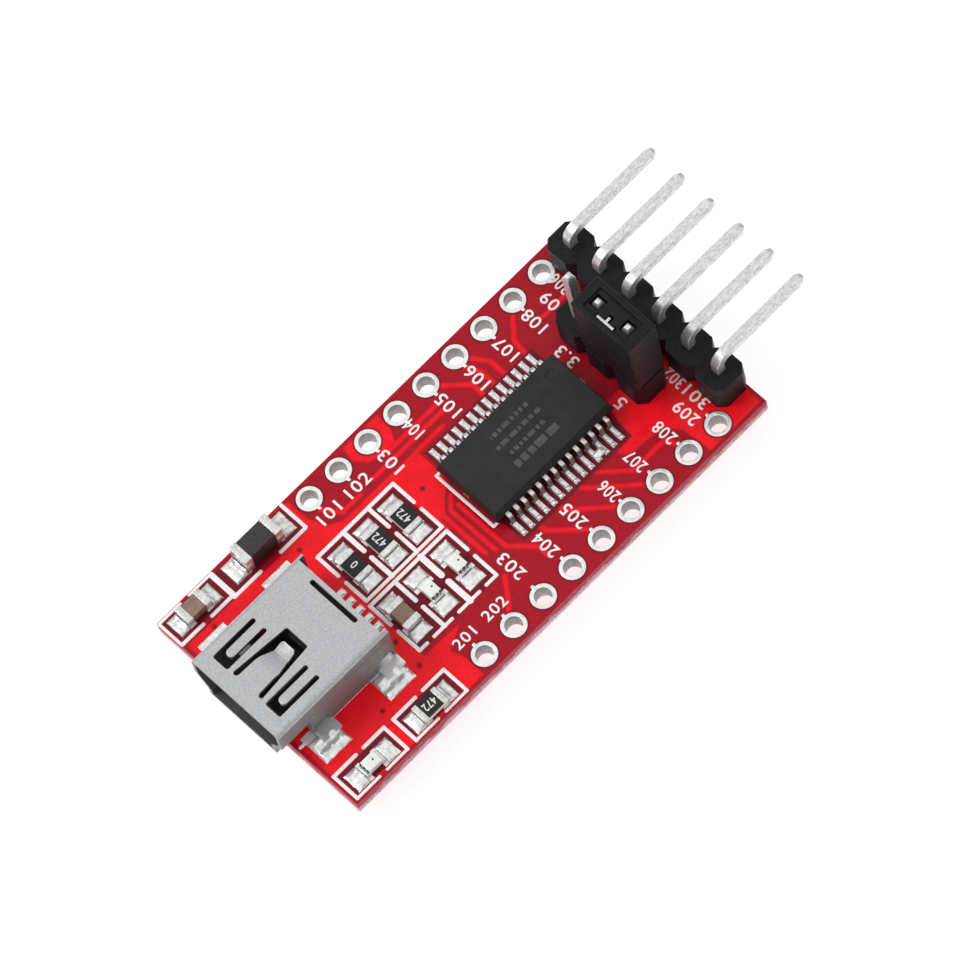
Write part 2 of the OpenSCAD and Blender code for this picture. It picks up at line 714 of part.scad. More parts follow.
module socket_insulator() {
    half = socket_w / 2 - shell_t - insulator_side_gap;
    color("black") difference() {
        union() {
            block([insulator_x0, socket_y - half, shell_z0],
                [insulator_x1, socket_y + half, shell_z1 - shell_bend_r]);
            block([tongue_x0, socket_y - tongue_w / 2, tongue_z],
                [insulator_x0 + EPS, socket_y + tongue_w / 2, tongue_z + tongue_t]);
            block([insulator_x1 - EPS, socket_y - half, tongue_z + contact_t + insulator_lip_gap],
                [insulator_lip_x1, socket_y + half, shell_z1 - shell_bend_r]);
            for (p = peg_points) translate([p.x, p.y, board_t - peg_l])
                cylinder(d = peg_d, h = peg_l + shell_gap + EPS);
        }
        contact_grooves();
    }
}

module socket_contacts() {
    z1 = tongue_z + contact_t / 2;
    color("silver") for (y = contact_ys) translate([0, y, 0])
        side_plate(gull_wing(contact_x0, contact_drop_x, shell_x1 + contact_tail, z1,
            land_z + contact_t / 2, contact_t, contact_bend_r, contact_lean), contact_w);
}

module socket_solder() {
    foot_toe_l = 0.6;
    foot_toe_w = foot_w - 2 * foot_notch_r - 0.2;
    tail_toe_l = 0.12;
    color("lightgray") {
        for (x = foot_xs, s = [-1, 1]) translate([x, socket_y, land_z]) rotate([0, 0, s * 90])
            side_plate([[foot_tip_y, 0], [foot_tip_y + foot_toe_l, 0], [foot_tip_y, shell_t * 0.8]],
                foot_toe_w);
        for (y = contact_ys) translate([shell_x1 + contact_tail, y, land_z])
            side_plate([[0, 0], [tail_toe_l, 0], [0, contact_t * 0.8]], contact_w);
    }
}

// ---- pin strips ----
module ring_pocket(p, d) {
    translate([p.x, p.y, board_t - EPS])
        cylinder(d = d + 2 * ring_gap, h = EPS + plating_t + ring_gap);
}

// one strip's plastic along Y: joined eight-sided cells with a square hole in each
module strip(points) {
    h = strip_w / 2;
    c = strip_chamfer;
    cell = [for (a = [0, 90, 180, 270], q = [[h, h - c], [h - c, h]]) turned(q, a)];
    difference() {
        union() {
            for (p = points) translate([p.x, p.y, board_t]) linear_extrude(strip_w) polygon(cell);
            for (i = [0 : len(points) - 2])
                block([points[i].x - h + c, points[i].y, board_t],
                    [points[i].x + h - c, points[i + 1].y, strip_z1]);
        }
        for (p = points)
            block([p.x - pin_w / 2, p.y - pin_w / 2, board_t - EPS],
                [p.x + pin_w / 2, p.y + pin_w / 2, strip_z1 + EPS]);
        // grooves under the plastic, which let air out while the pins are soldered
        for (i = [0 : len(points) - 2])
            block([points[i].x - h - EPS, points[i].y + (pitch - vent_w) / 2, board_t - EPS],
                [points[i].x + h + EPS, points[i].y + (pitch + vent_w) / 2, board_t + vent_h]);
        // pockets over the copper rings that the plastic would sit on
        for (p = points) ring_pocket(p, header_ring_d);
        for (p = grid_points) ring_pocket(p, ring_d);
    }
}

module angled_strip() {
    color("black") strip(angled_points);
}

module upright_strip() {
    color("black") strip(upright_points);
}

// Square pin: its side view is a strip with a bend, and its ends are tapered on all sides
module pin_tip(l, w, taper) {
    // along +X from the full square to the narrow end, by two crossed wedges
    side = [[0, -w / 2], [l, -w / 2 + taper], [l, w / 2 - taper], [0, w / 2]];
    intersection() {
        side_plate(side, w);
        rotate([90, 0, 0]) side_plate(side, w);
    }
}

module angled_pin(p) {
    r0 = pin_bend_r;
    r1 = pin_bend_r + pin_w;
    c = [pin_w / 2 + pin_bend_r, angled_z - pin_w / 2 - pin_bend_r];
    reach = angled_tip_x - p.x - tip_l;
    outline = concat([[-pin_w / 2, -pin_tail + tip_l]], arc(c, r1, 180, 90, 8),
        [[reach, angled_z + pin_w / 2], [reach, angled_z - pin_w / 2]], arc(c, r0, 90, 180, 8),
        [[pin_w / 2, -pin_tail + tip_l]]);
    translate([p.x, p.y, 0]) {
        side_plate(outline, pin_w);
        translate([reach, 0, angled_z]) pin_tip(tip_l, pin_w, tip_taper);
        translate([0, 0, -pin_tail + tip_l]) rotate([0, 90, 0]) pin_tip(tip_l, pin_w, tip_taper);
    }
}

module angled_pins_set() {
    color("silver") for (p = angled_points) angled_pin(p);
}

module upright_pins_set() {
    color("silver") for (p = upright_points) translate([p.x, p.y, 0]) {
        block([-pin_w / 2, -pin_w / 2, -pin_tail + tip_l], [pin_w / 2, pin_w / 2, upright_z1 - tip_l]);
        translate([0, 0, upright_z1 - tip_l]) rotate([0, -90, 0]) pin_tip(tip_l, pin_w, tip_taper);
        translate([0, 0, -pin_tail + tip_l]) rotate([0, 90, 0]) pin_tip(tip_l, pin_w, tip_taper);
    }
}

module header_solder() {
    color("lightgray") for (p = header_points) translate([p.x, p.y, 0]) difference() {
        union() {
            cylinder(d = header_hole_d, h = board_t);
            translate([0, 0, -plating_t]) cylinder(d = header_hole_d, h = plating_t);
            translate([0, 0, -plating_t - solder_h])
                cylinder(d1 = solder_tip_d, d2 = solder_d, h = solder_h);
        }
        block([-pin_w / 2, -pin_w / 2, -pin_tail], [pin_w / 2, pin_w / 2, board_t + EPS]);
    }
}

// ---- jumper ----
module jumper_cap() {
    inner = [jumper_w - 2 * jumper_wall, jumper_l - 2 * jumper_wall, jumper_h - cap_lip_t];
    color("black") translate([upright_x, jumper_y, jumper_z0]) difference() {
        translate([-jumper_w / 2, -jumper_l / 2, 0]) cube([jumper_w, jumper_l, jumper_h]);
        translate([-inner.x / 2, -inner.y / 2, -EPS]) cube(inner + [0, 0, EPS]);
        translate([-inner.x / 2, -cap_window_l / 2, inner.z - EPS])
            cube([inner.x, cap_window_l, cap_lip_t + 2 * EPS]);
    }
}

// one folded strip: a back plate against the cap's wall, and a pair of leaves round each pin
module jumper_clip() {
    half_l = jumper_l / 2 - jumper_wall;
    color("silver") {
        block([clip_x0, jumper_y - half_l, clip_z0], [clip_x0 + clip_t, jumper_y + half_l, clip_z1]);
        for (p = jumper_pin_points, s = [-1, 1]) {
            y = p.y + s * (pin_w / 2 + grip_gap + clip_t / 2);
            block([clip_x0, y - clip_t / 2, clip_z0 + clip_leaf_in],
                [p.x + leaf_reach, y + clip_t / 2, clip_z1 - clip_leaf_in]);
        }
        // tab that shows in the cap's window
        block([clip_x0, jumper_y - clip_tab_w / 2, clip_z1 - EPS],
            [clip_x0 + clip_t, jumper_y + clip_tab_w / 2, jumper_z1 - clip_tab_in]);
        block([clip_x0, jumper_y - clip_t / 2, clip_z1 - EPS],
            [clip_x0 + clip_t + clip_stub_l, jumper_y + clip_t / 2, jumper_z1 - clip_tab_in]);
    }
}

circuit_board();
hole_plating();
header_plating();
via_plating();
component_lands();
chip_lands();
socket_lands();
chip_body();
chip_leads();
chip_paddle();
chip_die();
chip_solder();
resistor_cores();
resistor_films();
resistor_coats();
resistor_ends();
small_capacitor_bodies();
small_capacitor_ends();
large_capacitor_body();
large_capacitor_ends();
lamp_bases();
lamp_lenses();
lamp_dies();
lamp_ends();
component_solder();
socket_shell();
socket_insulator();
socket_contacts();
socket_solder();
angled_strip();
angled_pins_set();
upright_strip();
upright_pins_set();
header_solder();
jumper_cap();
jumper_clip();
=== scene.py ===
"""Looks of a USB-to-serial adapter board: lacquer over copper, white print, solder, metal and plastic.

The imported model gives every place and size. Lengths inside the modelling functions are millimetres in the
model's own frame, and piece() turns them into metres. Drawings on the board are given from its centre.
"""
import json
import math
import random

import bmesh
import bpy
import numpy as np
from mathutils import Matrix, Quaternion, Vector


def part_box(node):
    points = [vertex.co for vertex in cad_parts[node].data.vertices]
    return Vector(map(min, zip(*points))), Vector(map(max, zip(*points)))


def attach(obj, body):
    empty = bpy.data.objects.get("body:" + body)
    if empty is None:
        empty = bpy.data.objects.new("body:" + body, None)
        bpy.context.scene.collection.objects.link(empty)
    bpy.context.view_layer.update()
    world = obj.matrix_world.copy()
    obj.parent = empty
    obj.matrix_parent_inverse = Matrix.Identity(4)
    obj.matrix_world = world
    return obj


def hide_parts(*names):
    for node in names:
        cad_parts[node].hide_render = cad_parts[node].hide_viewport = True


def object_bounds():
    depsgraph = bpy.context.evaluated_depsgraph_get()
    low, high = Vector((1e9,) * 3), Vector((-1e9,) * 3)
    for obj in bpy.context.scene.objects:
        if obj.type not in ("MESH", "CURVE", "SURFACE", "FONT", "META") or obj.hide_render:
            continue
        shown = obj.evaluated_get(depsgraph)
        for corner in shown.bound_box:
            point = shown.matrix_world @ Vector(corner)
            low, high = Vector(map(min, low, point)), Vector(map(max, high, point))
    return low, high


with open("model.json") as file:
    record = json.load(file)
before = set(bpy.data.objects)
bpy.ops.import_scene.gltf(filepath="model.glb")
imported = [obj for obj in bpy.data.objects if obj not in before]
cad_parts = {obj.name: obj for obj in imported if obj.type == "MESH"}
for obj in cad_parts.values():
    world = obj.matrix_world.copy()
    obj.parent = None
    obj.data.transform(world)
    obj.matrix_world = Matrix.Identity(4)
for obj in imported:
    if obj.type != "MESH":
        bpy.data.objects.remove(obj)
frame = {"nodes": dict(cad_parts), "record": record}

bl_info = {
    "name": "Serial adapter board",
    "version": (1, 0, 0),
    "blender": (4, 5, 0),
    "location": "3D Viewport > Sidebar > Adapter board",
    "description": "Finishes the packed adapter board: lacquer, print, solder, metal and plastic",
    "category": "Object",
}

MM = 0.001
CAD_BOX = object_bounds()


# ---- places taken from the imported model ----

def box_mm(node):
    """Lowest and highest corner of a CAD node, in millimetres."""
    low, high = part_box(node)
    return low / MM, high / MM


def solids_mm(node):
    """Lowest and highest corner of each separate solid in a CAD node, in millimetres, by X, then Y."""
    bm = copy_of(node)
    left = set(bm.verts)
    boxes = []
    while left:
        grown = [left.pop()]
        for vert in grown:
            for edge in vert.link_edges:
                other = edge.other_vert(vert)
                if other in left:
                    left.remove(other)
                    grown.append(other)
        points = [v.co for v in grown]
        boxes.append((Vector(map(min, zip(*points))), Vector(map(max, zip(*points)))))
    bm.free()
    return sorted(boxes, key=lambda b: (round(b[0].x, 2), round(b[0].y, 2)))


def copy_of(node):
    """A CAD node's mesh as a bmesh in millimetres, with its loose triangles joined up."""
    bm = bmesh.new()
    bm.from_mesh(frame["nodes"][node].data)
    bmesh.ops.scale(bm, vec=(1 / MM,) * 3, verts=bm.verts)
    bmesh.ops.remove_doubles(bm, verts=bm.verts, dist=0.0005)
    return bm


BOARD_LOW, BOARD_HIGH = box_mm("circuit_board")
BOARD_CENTRE = (BOARD_LOW + BOARD_HIGH) / 2
TOP = BOARD_HIGH.z
BODY_OF = {n: b for b, names in frame["record"]["behaviour"]["bodies"].items() for n in names}


def on_board(x, y, z=0.0):
    """A point x, y millimetres from the board's centre and z above its top."""
    return Vector((BOARD_CENTRE.x + x, BOARD_CENTRE.y + y, TOP + z))


# ---- making pieces ----

def piece(name, bm, material, like, replaces=(), smooth_angle=40.0):
    """Turns a bmesh in millimetres into a piece with the given material, in the body of the CAD node `like`.
    """
    bmesh.ops.scale(bm, vec=(MM,) * 3, verts=bm.verts)
    mesh = bpy.data.meshes.new(name)
    bm.to_mesh(mesh)
    bm.free()
    obj = bpy.data.objects.new(name, mesh)
    bpy.context.scene.collection.objects.link(obj)
    for polygon in mesh.polygons:
        polygon.use_smooth = True
    mesh.set_sharp_from_angle(angle=math.radians(smooth_angle))
    mesh.materials.append(material)
    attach(obj, BODY_OF[like])
    if replaces:
        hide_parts(*replaces)
    return obj


def paint_shade_on_upright_faces(obj, material, limit):
    """Gives a second finish to the faces whose normals point up or down by less than limit; the finishes
    given here are darker ones that paint shade.
    """
    obj.data.materials.append(material)
    for polygon in obj.data.polygons:
        if abs(polygon.normal.z) < limit:
            polygon.material_index = 1


def softened(node, width, segments=2, angle=35.0, shape=None):
    """A bmesh of a CAD node with its edges rounded. shape may change the mesh before the rounding."""
    bm = copy_of(node)
    bmesh.ops.dissolve_limit(bm, angle_limit=math.radians(1), verts=bm.verts, edges=bm.edges)
    if shape:
        shape(bm)
    sharp = [e for e in bm.edges
             if len(e.link_faces) == 2 and e.calc_face_angle(0) > math.radians(angle)]
    bmesh.ops.bevel(bm, geom=sharp, offset=width, offset_type="OFFSET", segments=segments,
                    profile=0.5, affect="EDGES", clamp_overlap=True, material=-1)
    return bm


def soft_node(node, name, material, width, segments=2, angle=35.0, shape=None):
    """A piece that stands for a CAD node, the same but for its rounded edges."""
    obj = piece(name, softened(node, width, segments, angle, shape), material, node, [node])
    even = obj.modifiers.new("even_shading", "WEIGHTED_NORMAL")
    even.keep_sharp = True
    return obj


def add_box(bm, low, high):
    """A box between two corners."""
    low, high = Vector(low), Vector(high)
    bmesh.ops.create_cube(bm, size=1, matrix=Matrix.Translation((low + high) / 2)
                          @ Matrix.Diagonal((*(high - low), 1)))


def add_pill(bm, start, end, width, height):
    """A flat pill from start to end: a squashed ball whose halves are pulled apart."""
    start, end = Vector(start), Vector(end)
    along = end - start
    turn = math.atan2(along.y, along.x)
    made = bmesh.ops.create_uvsphere(bm, u_segments=14, v_segments=6, radius=1)
    half_step = Matrix.Rotation(math.pi / 14, 4, "Z")
    bmesh.ops.transform(bm, verts=made["verts"], matrix=half_step)
    bmesh.ops.scale(bm, vec=(width / 2, width / 2, height / 2), verts=made["verts"])
    for vert in made["verts"]:
        vert.co.x += math.copysign(along.length / 2, vert.co.x)
    bmesh.ops.transform(bm, verts=made["verts"], matrix=Matrix.Translation((start + end) / 2)
                        @ Matrix.Rotation(turn, 4, "Z"))


def add_blob(bm, centre, size, squareness=1.0):
    """A drop of metal: a ball pressed to the given size."""
    made = bmesh.ops.create_icosphere(bm, subdivisions=2, radius=0.5)
    for vert in made["verts"]:
        for i in range(3):
            vert.co[i] = math.copysign(abs(vert.co[i] * 2) ** (1 / squareness) / 2, vert.co[i])
    bmesh.ops.scale(bm, vec=size, verts=made["verts"])
    bmesh.ops.translate(bm, vec=Vector(centre), verts=made["verts"])


def add_lettering(bm, text, size, centre, turn=0.0, thickness=0.03):
    """Flat figures of a given length and height, centred at a point and turned by degrees about Z."""
    curve = bpy.data.curves.new("lettering", "FONT")
    curve.body = text
    curve.offset = 0.012
    curve.resolution_u = 3
    curve.space_character = 1.1
    holder = bpy.data.objects.new("lettering", curve)
    bpy.context.scene.collection.objects.link(holder)
    bpy.context.view_layer.update()
    mesh = bpy.data.meshes.new_from_object(holder.evaluated_get(bpy.context.evaluated_depsgraph_get()))
    points = [v.co for v in mesh.vertices]
    low, high = Vector(map(min, zip(*points))), Vector(map(max, zip(*points)))
    scale = size[1] / (high.y - low.y)
    stretch = min(max(size[0] / (high.x - low.x) / scale, 0.8), 1.12)
    fitted = (scale * stretch, scale, 1, 1)
    mesh.transform(Matrix.Translation(Vector(centre)) @ Matrix.Rotation(math.radians(turn), 4, "Z")
                   @ Matrix.Diagonal(fitted) @ Matrix.Translation(-(low + high) / 2))
    flat = bmesh.new()
    flat.from_mesh(mesh)
    bmesh.ops.remove_doubles(flat, verts=flat.verts, dist=0.0005)
    top = bmesh.ops.extrude_face_region(flat, geom=flat.faces[:])["geom"]
    bmesh.ops.translate(flat, vec=(0, 0, thickness),
                        verts=[g for g in top if isinstance(g, bmesh.types.BMVert)])
    bmesh.ops.recalc_face_normals(flat, faces=flat.faces)
    flat.to_mesh(mesh)
    flat.free()
    bm.from_mesh(mesh)
    bpy.data.objects.remove(holder)
    bpy.data.curves.remove(curve)
    bpy.data.meshes.remove(mesh)


def carved(bm, cutter):
    """bm with the closed shapes in cutter taken away. Both are used up."""
    holders = []
    for part in (bm, cutter):
        mesh = bpy.data.meshes.new("carving")
        part.to_mesh(mesh)
        part.free()
        holders.append(bpy.data.objects.new("carving", mesh))
        bpy.context.scene.collection.objects.link(holders[-1])
    boolean = holders[0].modifiers.new("cut", "BOOLEAN")
    boolean.operation = "DIFFERENCE"
    boolean.solver = "MANIFOLD"
    boolean.object = holders[1]
    result = holders[0].evaluated_get(bpy.context.evaluated_depsgraph_get())
    left = bmesh.new()
    left.from_mesh(result.to_mesh())
    result.to_mesh_clear()
    for holder in holders:
        mesh = holder.data
        bpy.data.objects.remove(holder)
        bpy.data.meshes.remove(mesh)
    return left


# ---- finishes ----

class Wiring:
    """A node tree with short calls for adding and joining its nodes."""

    def __init__(self, tree):
        self.tree = tree

    def node(self, kind, inputs=None, **settings):
        """A new node. inputs holds a value or an output to join for each input, by name or number."""
        made = self.tree.nodes.new(kind)
        for key, value in settings.items():
            setattr(made, key, value)
        for key, value in (inputs or {}).items():
            if isinstance(value, bpy.types.NodeSocket):
                self.tree.links.new(value, made.inputs[key])
            else:
                made.inputs[key].default_value = value
        return made

    def ramp(self, fac, stops):
        """The colour at fac on a ramp through (place, colour) stops."""
        made = self.node("ShaderNodeValToRGB", {"Fac": fac})
        points = made.color_ramp.elements
        while len(points) < len(stops):
            points.new(1.0)
        for point, (place, colour) in zip(points, stops):
            point.position = place
            point.color = (*colour, 1.0)
        return made.outputs["Color"]


def new_group(name, inputs, outputs):
    """An empty shader node group: inputs and outputs are (name, socket type, default)."""
    tree = bpy.data.node_groups.new(name, "ShaderNodeTree")
    for label, kind, default in inputs:
        made = tree.interface.new_socket(label, in_out="INPUT", socket_type=kind)
        if default is not None:
            made.default_value = default
    for label, kind in outputs:
        tree.interface.new_socket(label, in_out="OUTPUT", socket_type=kind)
    return Wiring(tree), tree.nodes.new("NodeGroupInput"), tree.nodes.new("NodeGroupOutput")


FLOAT, COLOUR, VECTOR = "NodeSocketFloat", "NodeSocketColor", "NodeSocketVector"


def uneven_tone_group():
    """Patches between two colours and two roughnesses, with fine specks over them."""
    w, given, out = new_group(
        "Uneven tone",
        [("Position", VECTOR, None), ("Patch scale", FLOAT, 900.0), ("Speck scale", FLOAT, 9000.0),
         ("Light", COLOUR, None), ("Dark", COLOUR, None),
         ("Smooth", FLOAT, 0.3), ("Rough", FLOAT, 0.5)],
        [("Colour", COLOUR), ("Roughness", FLOAT)])
    patches = w.node("ShaderNodeTexNoise", {"Vector": given.outputs["Position"],
                                            "Scale": given.outputs["Patch scale"],
                                            "Detail": 3.0, "Roughness": 0.6})
    specks = w.node("ShaderNodeTexNoise", {"Vector": given.outputs["Position"],
                                           "Scale": given.outputs["Speck scale"], "Detail": 1.0})
    both = w.node("ShaderNodeMath", {0: patches.outputs["Fac"], 1: specks.outputs["Fac"]}, operation="ADD")
    share = w.node("ShaderNodeMapRange", {"Value": both.outputs[0], "From Min": 0.72, "From Max": 1.28})
    tone = w.node("ShaderNodeMix", {0: share.outputs[0], 6: given.outputs["Light"],
                                    7: given.outputs["Dark"]}, data_type="RGBA")
    rough = w.node("ShaderNodeMix", {0: share.outputs[0], 2: given.outputs["Smooth"],
                                     3: given.outputs["Rough"]}, data_type="FLOAT")
    w.tree.links.new(tone.outputs[2], out.inputs["Colour"])
    w.tree.links.new(rough.outputs[0], out.inputs["Roughness"])
    return w.tree


def surface_grain_group():
    """Height of a fine grain on top of a slow unevenness, for a Bump node."""
    w, given, out = new_group(
        "Surface grain",
        [("Position", VECTOR, None), ("Grain scale", FLOAT, 9000.0), ("Wave scale", FLOAT, 900.0),
         ("Wave share", FLOAT, 0.5)],
        [("Height", FLOAT)])
    grain = w.node("ShaderNodeTexNoise", {"Vector": given.outputs["Position"],
                                          "Scale": given.outputs["Grain scale"], "Detail": 2.0})
    wave = w.node("ShaderNodeTexNoise", {"Vector": given.outputs["Position"],
                                         "Scale": given.outputs["Wave scale"], "Detail": 2.0})
    height = w.node("ShaderNodeMix", {0: given.outputs["Wave share"], 2: grain.outputs["Fac"],
                                      3: wave.outputs["Fac"]}, data_type="FLOAT")
    w.tree.links.new(height.outputs[0], out.inputs["Height"])
    return w.tree


GROUPS = {}


def group(build):
    """The node group that a build function makes, made once."""
    if build not in GROUPS:
        GROUPS[build] = build()
    return GROUPS[build]


def start_material(name, **shader):
    """A material with a Principled shader whose fixed inputs are set, and its Object coordinates."""
    material = bpy.data.materials.new(name)
    material.use_nodes = True
    material.node_tree.nodes.clear()
    w = Wiring(material.node_tree)
    principled = w.node("ShaderNodeBsdfPrincipled",
                        {key.replace("_", " ").title().replace("Ior", "IOR"): value
                         for key, value in shader.items()})
    w.node("ShaderNodeOutputMaterial", {"Surface": principled.outputs["BSDF"]})
    place = w.node("ShaderNodeTexCoord").outputs["Object"]
    return material, w, principled, place


def finish(name, light, dark, rough, patch=1200.0, speck=12000.0, grain=9000.0, wave=1200.0,
           wave_share=0.5, bump=0.3, depth=0.01, stretch=(1, 1, 1), **shader):
    """A finish with uneven colour and roughness and a fine bumpy surface. patch and speck are the scales of
    the colour's unevenness, grain and wave those of the bumps, and wave_share is the wave's part in them.
    stretch draws the pattern out along an axis where its number is small. depth is the height of the bumps
    in millimetres."""
    material, w, principled, place = start_material(name, **shader)
    drawn = w.node("ShaderNodeMapping", {"Vector": place, "Scale": stretch}).outputs[0]
    tone = w.node("ShaderNodeGroup", node_tree=group(uneven_tone_group))
    height = w.node("ShaderNodeGroup", node_tree=group(surface_grain_group))
    for target in (tone, height):
        w.tree.links.new(drawn, target.inputs["Position"])
    for key, value in {"Patch scale": patch, "Speck scale": speck, "Light": (*light, 1),
                       "Dark": (*dark, 1), "Smooth": rough[0], "Rough": rough[1]}.items():
        tone.inputs[key].default_value = value
    for key, value in {"Grain scale": grain, "Wave scale": wave, "Wave share": wave_share}.items():
        height.inputs[key].default_value = value
    relief = w.node("ShaderNodeBump", {"Height": height.outputs["Height"], "Strength": bump,
                                       "Distance": depth * MM})
    w.tree.links.new(tone.outputs["Colour"], principled.inputs["Base Color"])
    w.tree.links.new(tone.outputs["Roughness"], principled.inputs["Roughness"])
    w.tree.links.new(relief.outputs["Normal"], principled.inputs["Normal"])
    return material


def lacquer_finish(settings):
    """Glossy lacquer: bright over copper, duller over bare laminate, darkest round the lands."""
    material, w, principled, place = start_material("red_lacquer", specular_ior_level=0.2)
    copper = w.node("ShaderNodeAttribute", attribute_name="copper").outputs["Fac"]
    opening = w.node("ShaderNodeAttribute", attribute_name="opening").outputs["Fac"]
    cloud = w.node("ShaderNodeTexNoise", {"Vector": place, "Scale": 700.0, "Detail": 4.0})
    weave = w.node("ShaderNodeTexNoise", {"Vector": place, "Scale": 5200.0, "Detail": 2.0})
    unevenness = w.node("ShaderNodeMath", {0: cloud.outputs["Fac"], 1: weave.outputs["Fac"]},
                        operation="ADD")
    shade = w.node("ShaderNodeMapRange", {"Value": unevenness.outputs[0], "From Min": 0.6,
                                          "From Max": 1.4, "To Min": 0.82, "To Max": 1.1})
    bare = w.node("ShaderNodeMix", {0: copper, 6: (*settings.bare_lacquer, 1),
                                    7: (*settings.copper_lacquer, 1)}, data_type="RGBA")
    both = w.node("ShaderNodeMix", {0: opening, 6: bare.outputs[2], 7: (*settings.open_lacquer, 1)},
                  data_type="RGBA")
    toned = w.node("ShaderNodeVectorMath", {0: both.outputs[2], "Scale": shade.outputs[0]},
                   operation="SCALE")
    rough = w.node("ShaderNodeMapRange", {"Value": cloud.outputs["Fac"], "To Min": 0.26, "To Max": 0.42})
    relief = w.node("ShaderNodeBump", {"Height": unevenness.outputs[0], "Strength": 0.12,
                                       "Distance": 0.01 * MM})
    w.tree.links.new(toned.outputs[0], principled.inputs["Base Color"])
    w.tree.links.new(rough.outputs[0], principled.inputs["Roughness"])
    w.tree.links.new(relief.outputs["Normal"], principled.inputs["Normal"])
    return material


def laminate_finish(settings):
    """Sawn glass-fibre laminate: stained red under the lacquer, paler below, with dark fibre ends."""
    material, w, principled, place = start_material("glass_fibre_laminate", specular_ior_level=0.3)
    layers = w.node("ShaderNodeMapping", {"Vector": place, "Scale": (0.3, 0.3, 1.0)}).outputs[0]
    layer = w.node("ShaderNodeTexNoise", {"Vector": layers, "Scale": 3600.0, "Detail": 3.0})
    fibres = w.node("ShaderNodeTexNoise", {"Vector": place, "Scale": 7500.0, "Detail": 2.0})
    height = w.node("ShaderNodeSeparateXYZ", {"Vector": place}).outputs["Z"]
    up = w.node("ShaderNodeMapRange", {"Value": height, "From Min": BOARD_LOW.z * MM,
                                       "From Max": BOARD_HIGH.z * MM}).outputs[0]
    ragged = w.node("ShaderNodeMath", {0: up, 1: layer.outputs["Fac"]}, operation="ADD").outputs[0]
    pale = settings.laminate
    stain = w.ramp(ragged, [(0.55, pale), (0.95, [c * t for c, t in zip(pale, (0.85, 0.42, 0.46))]),
                            (1.0, [c * t for c, t in zip(pale, (0.6, 0.1, 0.14))])])
    dark_ends = w.node("ShaderNodeMapRange", {"Value": fibres.outputs["Fac"], "From Min": 0.36,
                                              "From Max": 0.46, "To Min": 0.55, "To Max": 1.0}).outputs[0]
    tone = w.node("ShaderNodeVectorMath", {0: stain, "Scale": dark_ends}, operation="SCALE").outputs[0]
    rough = w.node("ShaderNodeMapRange", {"Value": layer.outputs["Fac"], "To Min": 0.5, "To Max": 0.85})
    relief = w.node("ShaderNodeBump", {"Height": fibres.outputs["Fac"], "Strength": 0.6,
                                       "Distance": 0.03 * MM})
    w.tree.links.new(tone, principled.inputs["Base Color"])
    w.tree.links.new(rough.outputs[0], principled.inputs["Roughness"])
    w.tree.links.new(relief.outputs["Normal"], principled.inputs["Normal"])
    return material


def metal_finishes(settings):
    """All the metals of the board, by name, with darker copies of tin and steel that paint shade."""
    tin = settings.tin
    steel = settings.shell_steel
    return {
        "tinned_copper": finish("tinned_copper", [min(1, c * 1.08) for c in tin], [c * 0.84 for c in tin],
                                (0.24, 0.42), patch=1300, speck=4000, wave=1900, wave_share=0.93, bump=0.5,
                                depth=0.04, metallic=0.6),
        "solder": finish("solder", [min(1, c * 1.1) for c in tin], [c * 0.7 for c in tin], (0.1, 0.26),
                         patch=1500, speck=3600, wave=1700, wave_share=0.96, bump=1.0, depth=0.09,
                         metallic=0.65),
        "lead_tin": finish("lead_tin", tin, [c * 0.62 for c in tin], (0.25, 0.45), patch=2600, speck=7000,
                           bump=0.4, metallic=0.85),
        # painted shade and painted dark reflection: a much darker tin for the steep faces of the chip's
        # leads
        "painted_shade_slope_tin": finish("painted_shade_slope_tin", [c * 0.34 for c in tin], [c * 0.2 for c in tin], (0.3, 0.5),
                            patch=2600, speck=7000, bump=0.4, metallic=0.5),
        # painted shade: a darker tin for the inner walls of the plated holes
        "painted_shade_bore_tin": finish("painted_shade_bore_tin", [c * 0.5 for c in tin], [c * 0.36 for c in tin], (0.3, 0.5),
                           patch=2600, speck=7000, bump=0.4, metallic=0.4),
        "shell_steel": finish("shell_steel", steel, [c * 0.74 for c in steel], (0.36, 0.5), patch=6500,
                              speck=11000, grain=9500, wave=1200, wave_share=0.22, bump=0.75, depth=0.014,
                              metallic=0.5),
        # painted shade: near-black steel for the inside of the socket's shell
        "painted_shade_inside_steel": finish("painted_shade_inside_steel", (0.09, 0.09, 0.095), (0.05, 0.05, 0.052), (0.45, 0.6),
                             patch=2600, bump=0.4, metallic=0.3),
        # painted shade: a darker steel for the upright sides of the socket's shell
        "painted_shade_side_steel": finish("painted_shade_side_steel", [c * 0.5 for c in steel], [c * 0.36 for c in steel], (0.4, 0.55),
                             patch=2200, speck=11000, grain=9500, wave=1200, wave_share=0.22, bump=0.6,
                             depth=0.014, metallic=0.4),
        "pin_metal": finish("pin_metal", tin, [c * 0.62 for c in tin], (0.34, 0.52), patch=5200,
                            speck=14000, grain=12000, wave=2600, bump=0.7, depth=0.02,
                            stretch=(0.5, 1, 0.5), metallic=0.85),
        "bare_copper": finish("bare_copper", (0.62, 0.3, 0.2), (0.32, 0.12, 0.09), (0.3, 0.5),
                              patch=2600, bump=0.3, metallic=1.0),
        "clip_metal": finish("clip_metal", tin, [c * 0.62 for c in tin], (0.18, 0.36), patch=2600,
                             bump=0.3, metallic=1.0),
    }


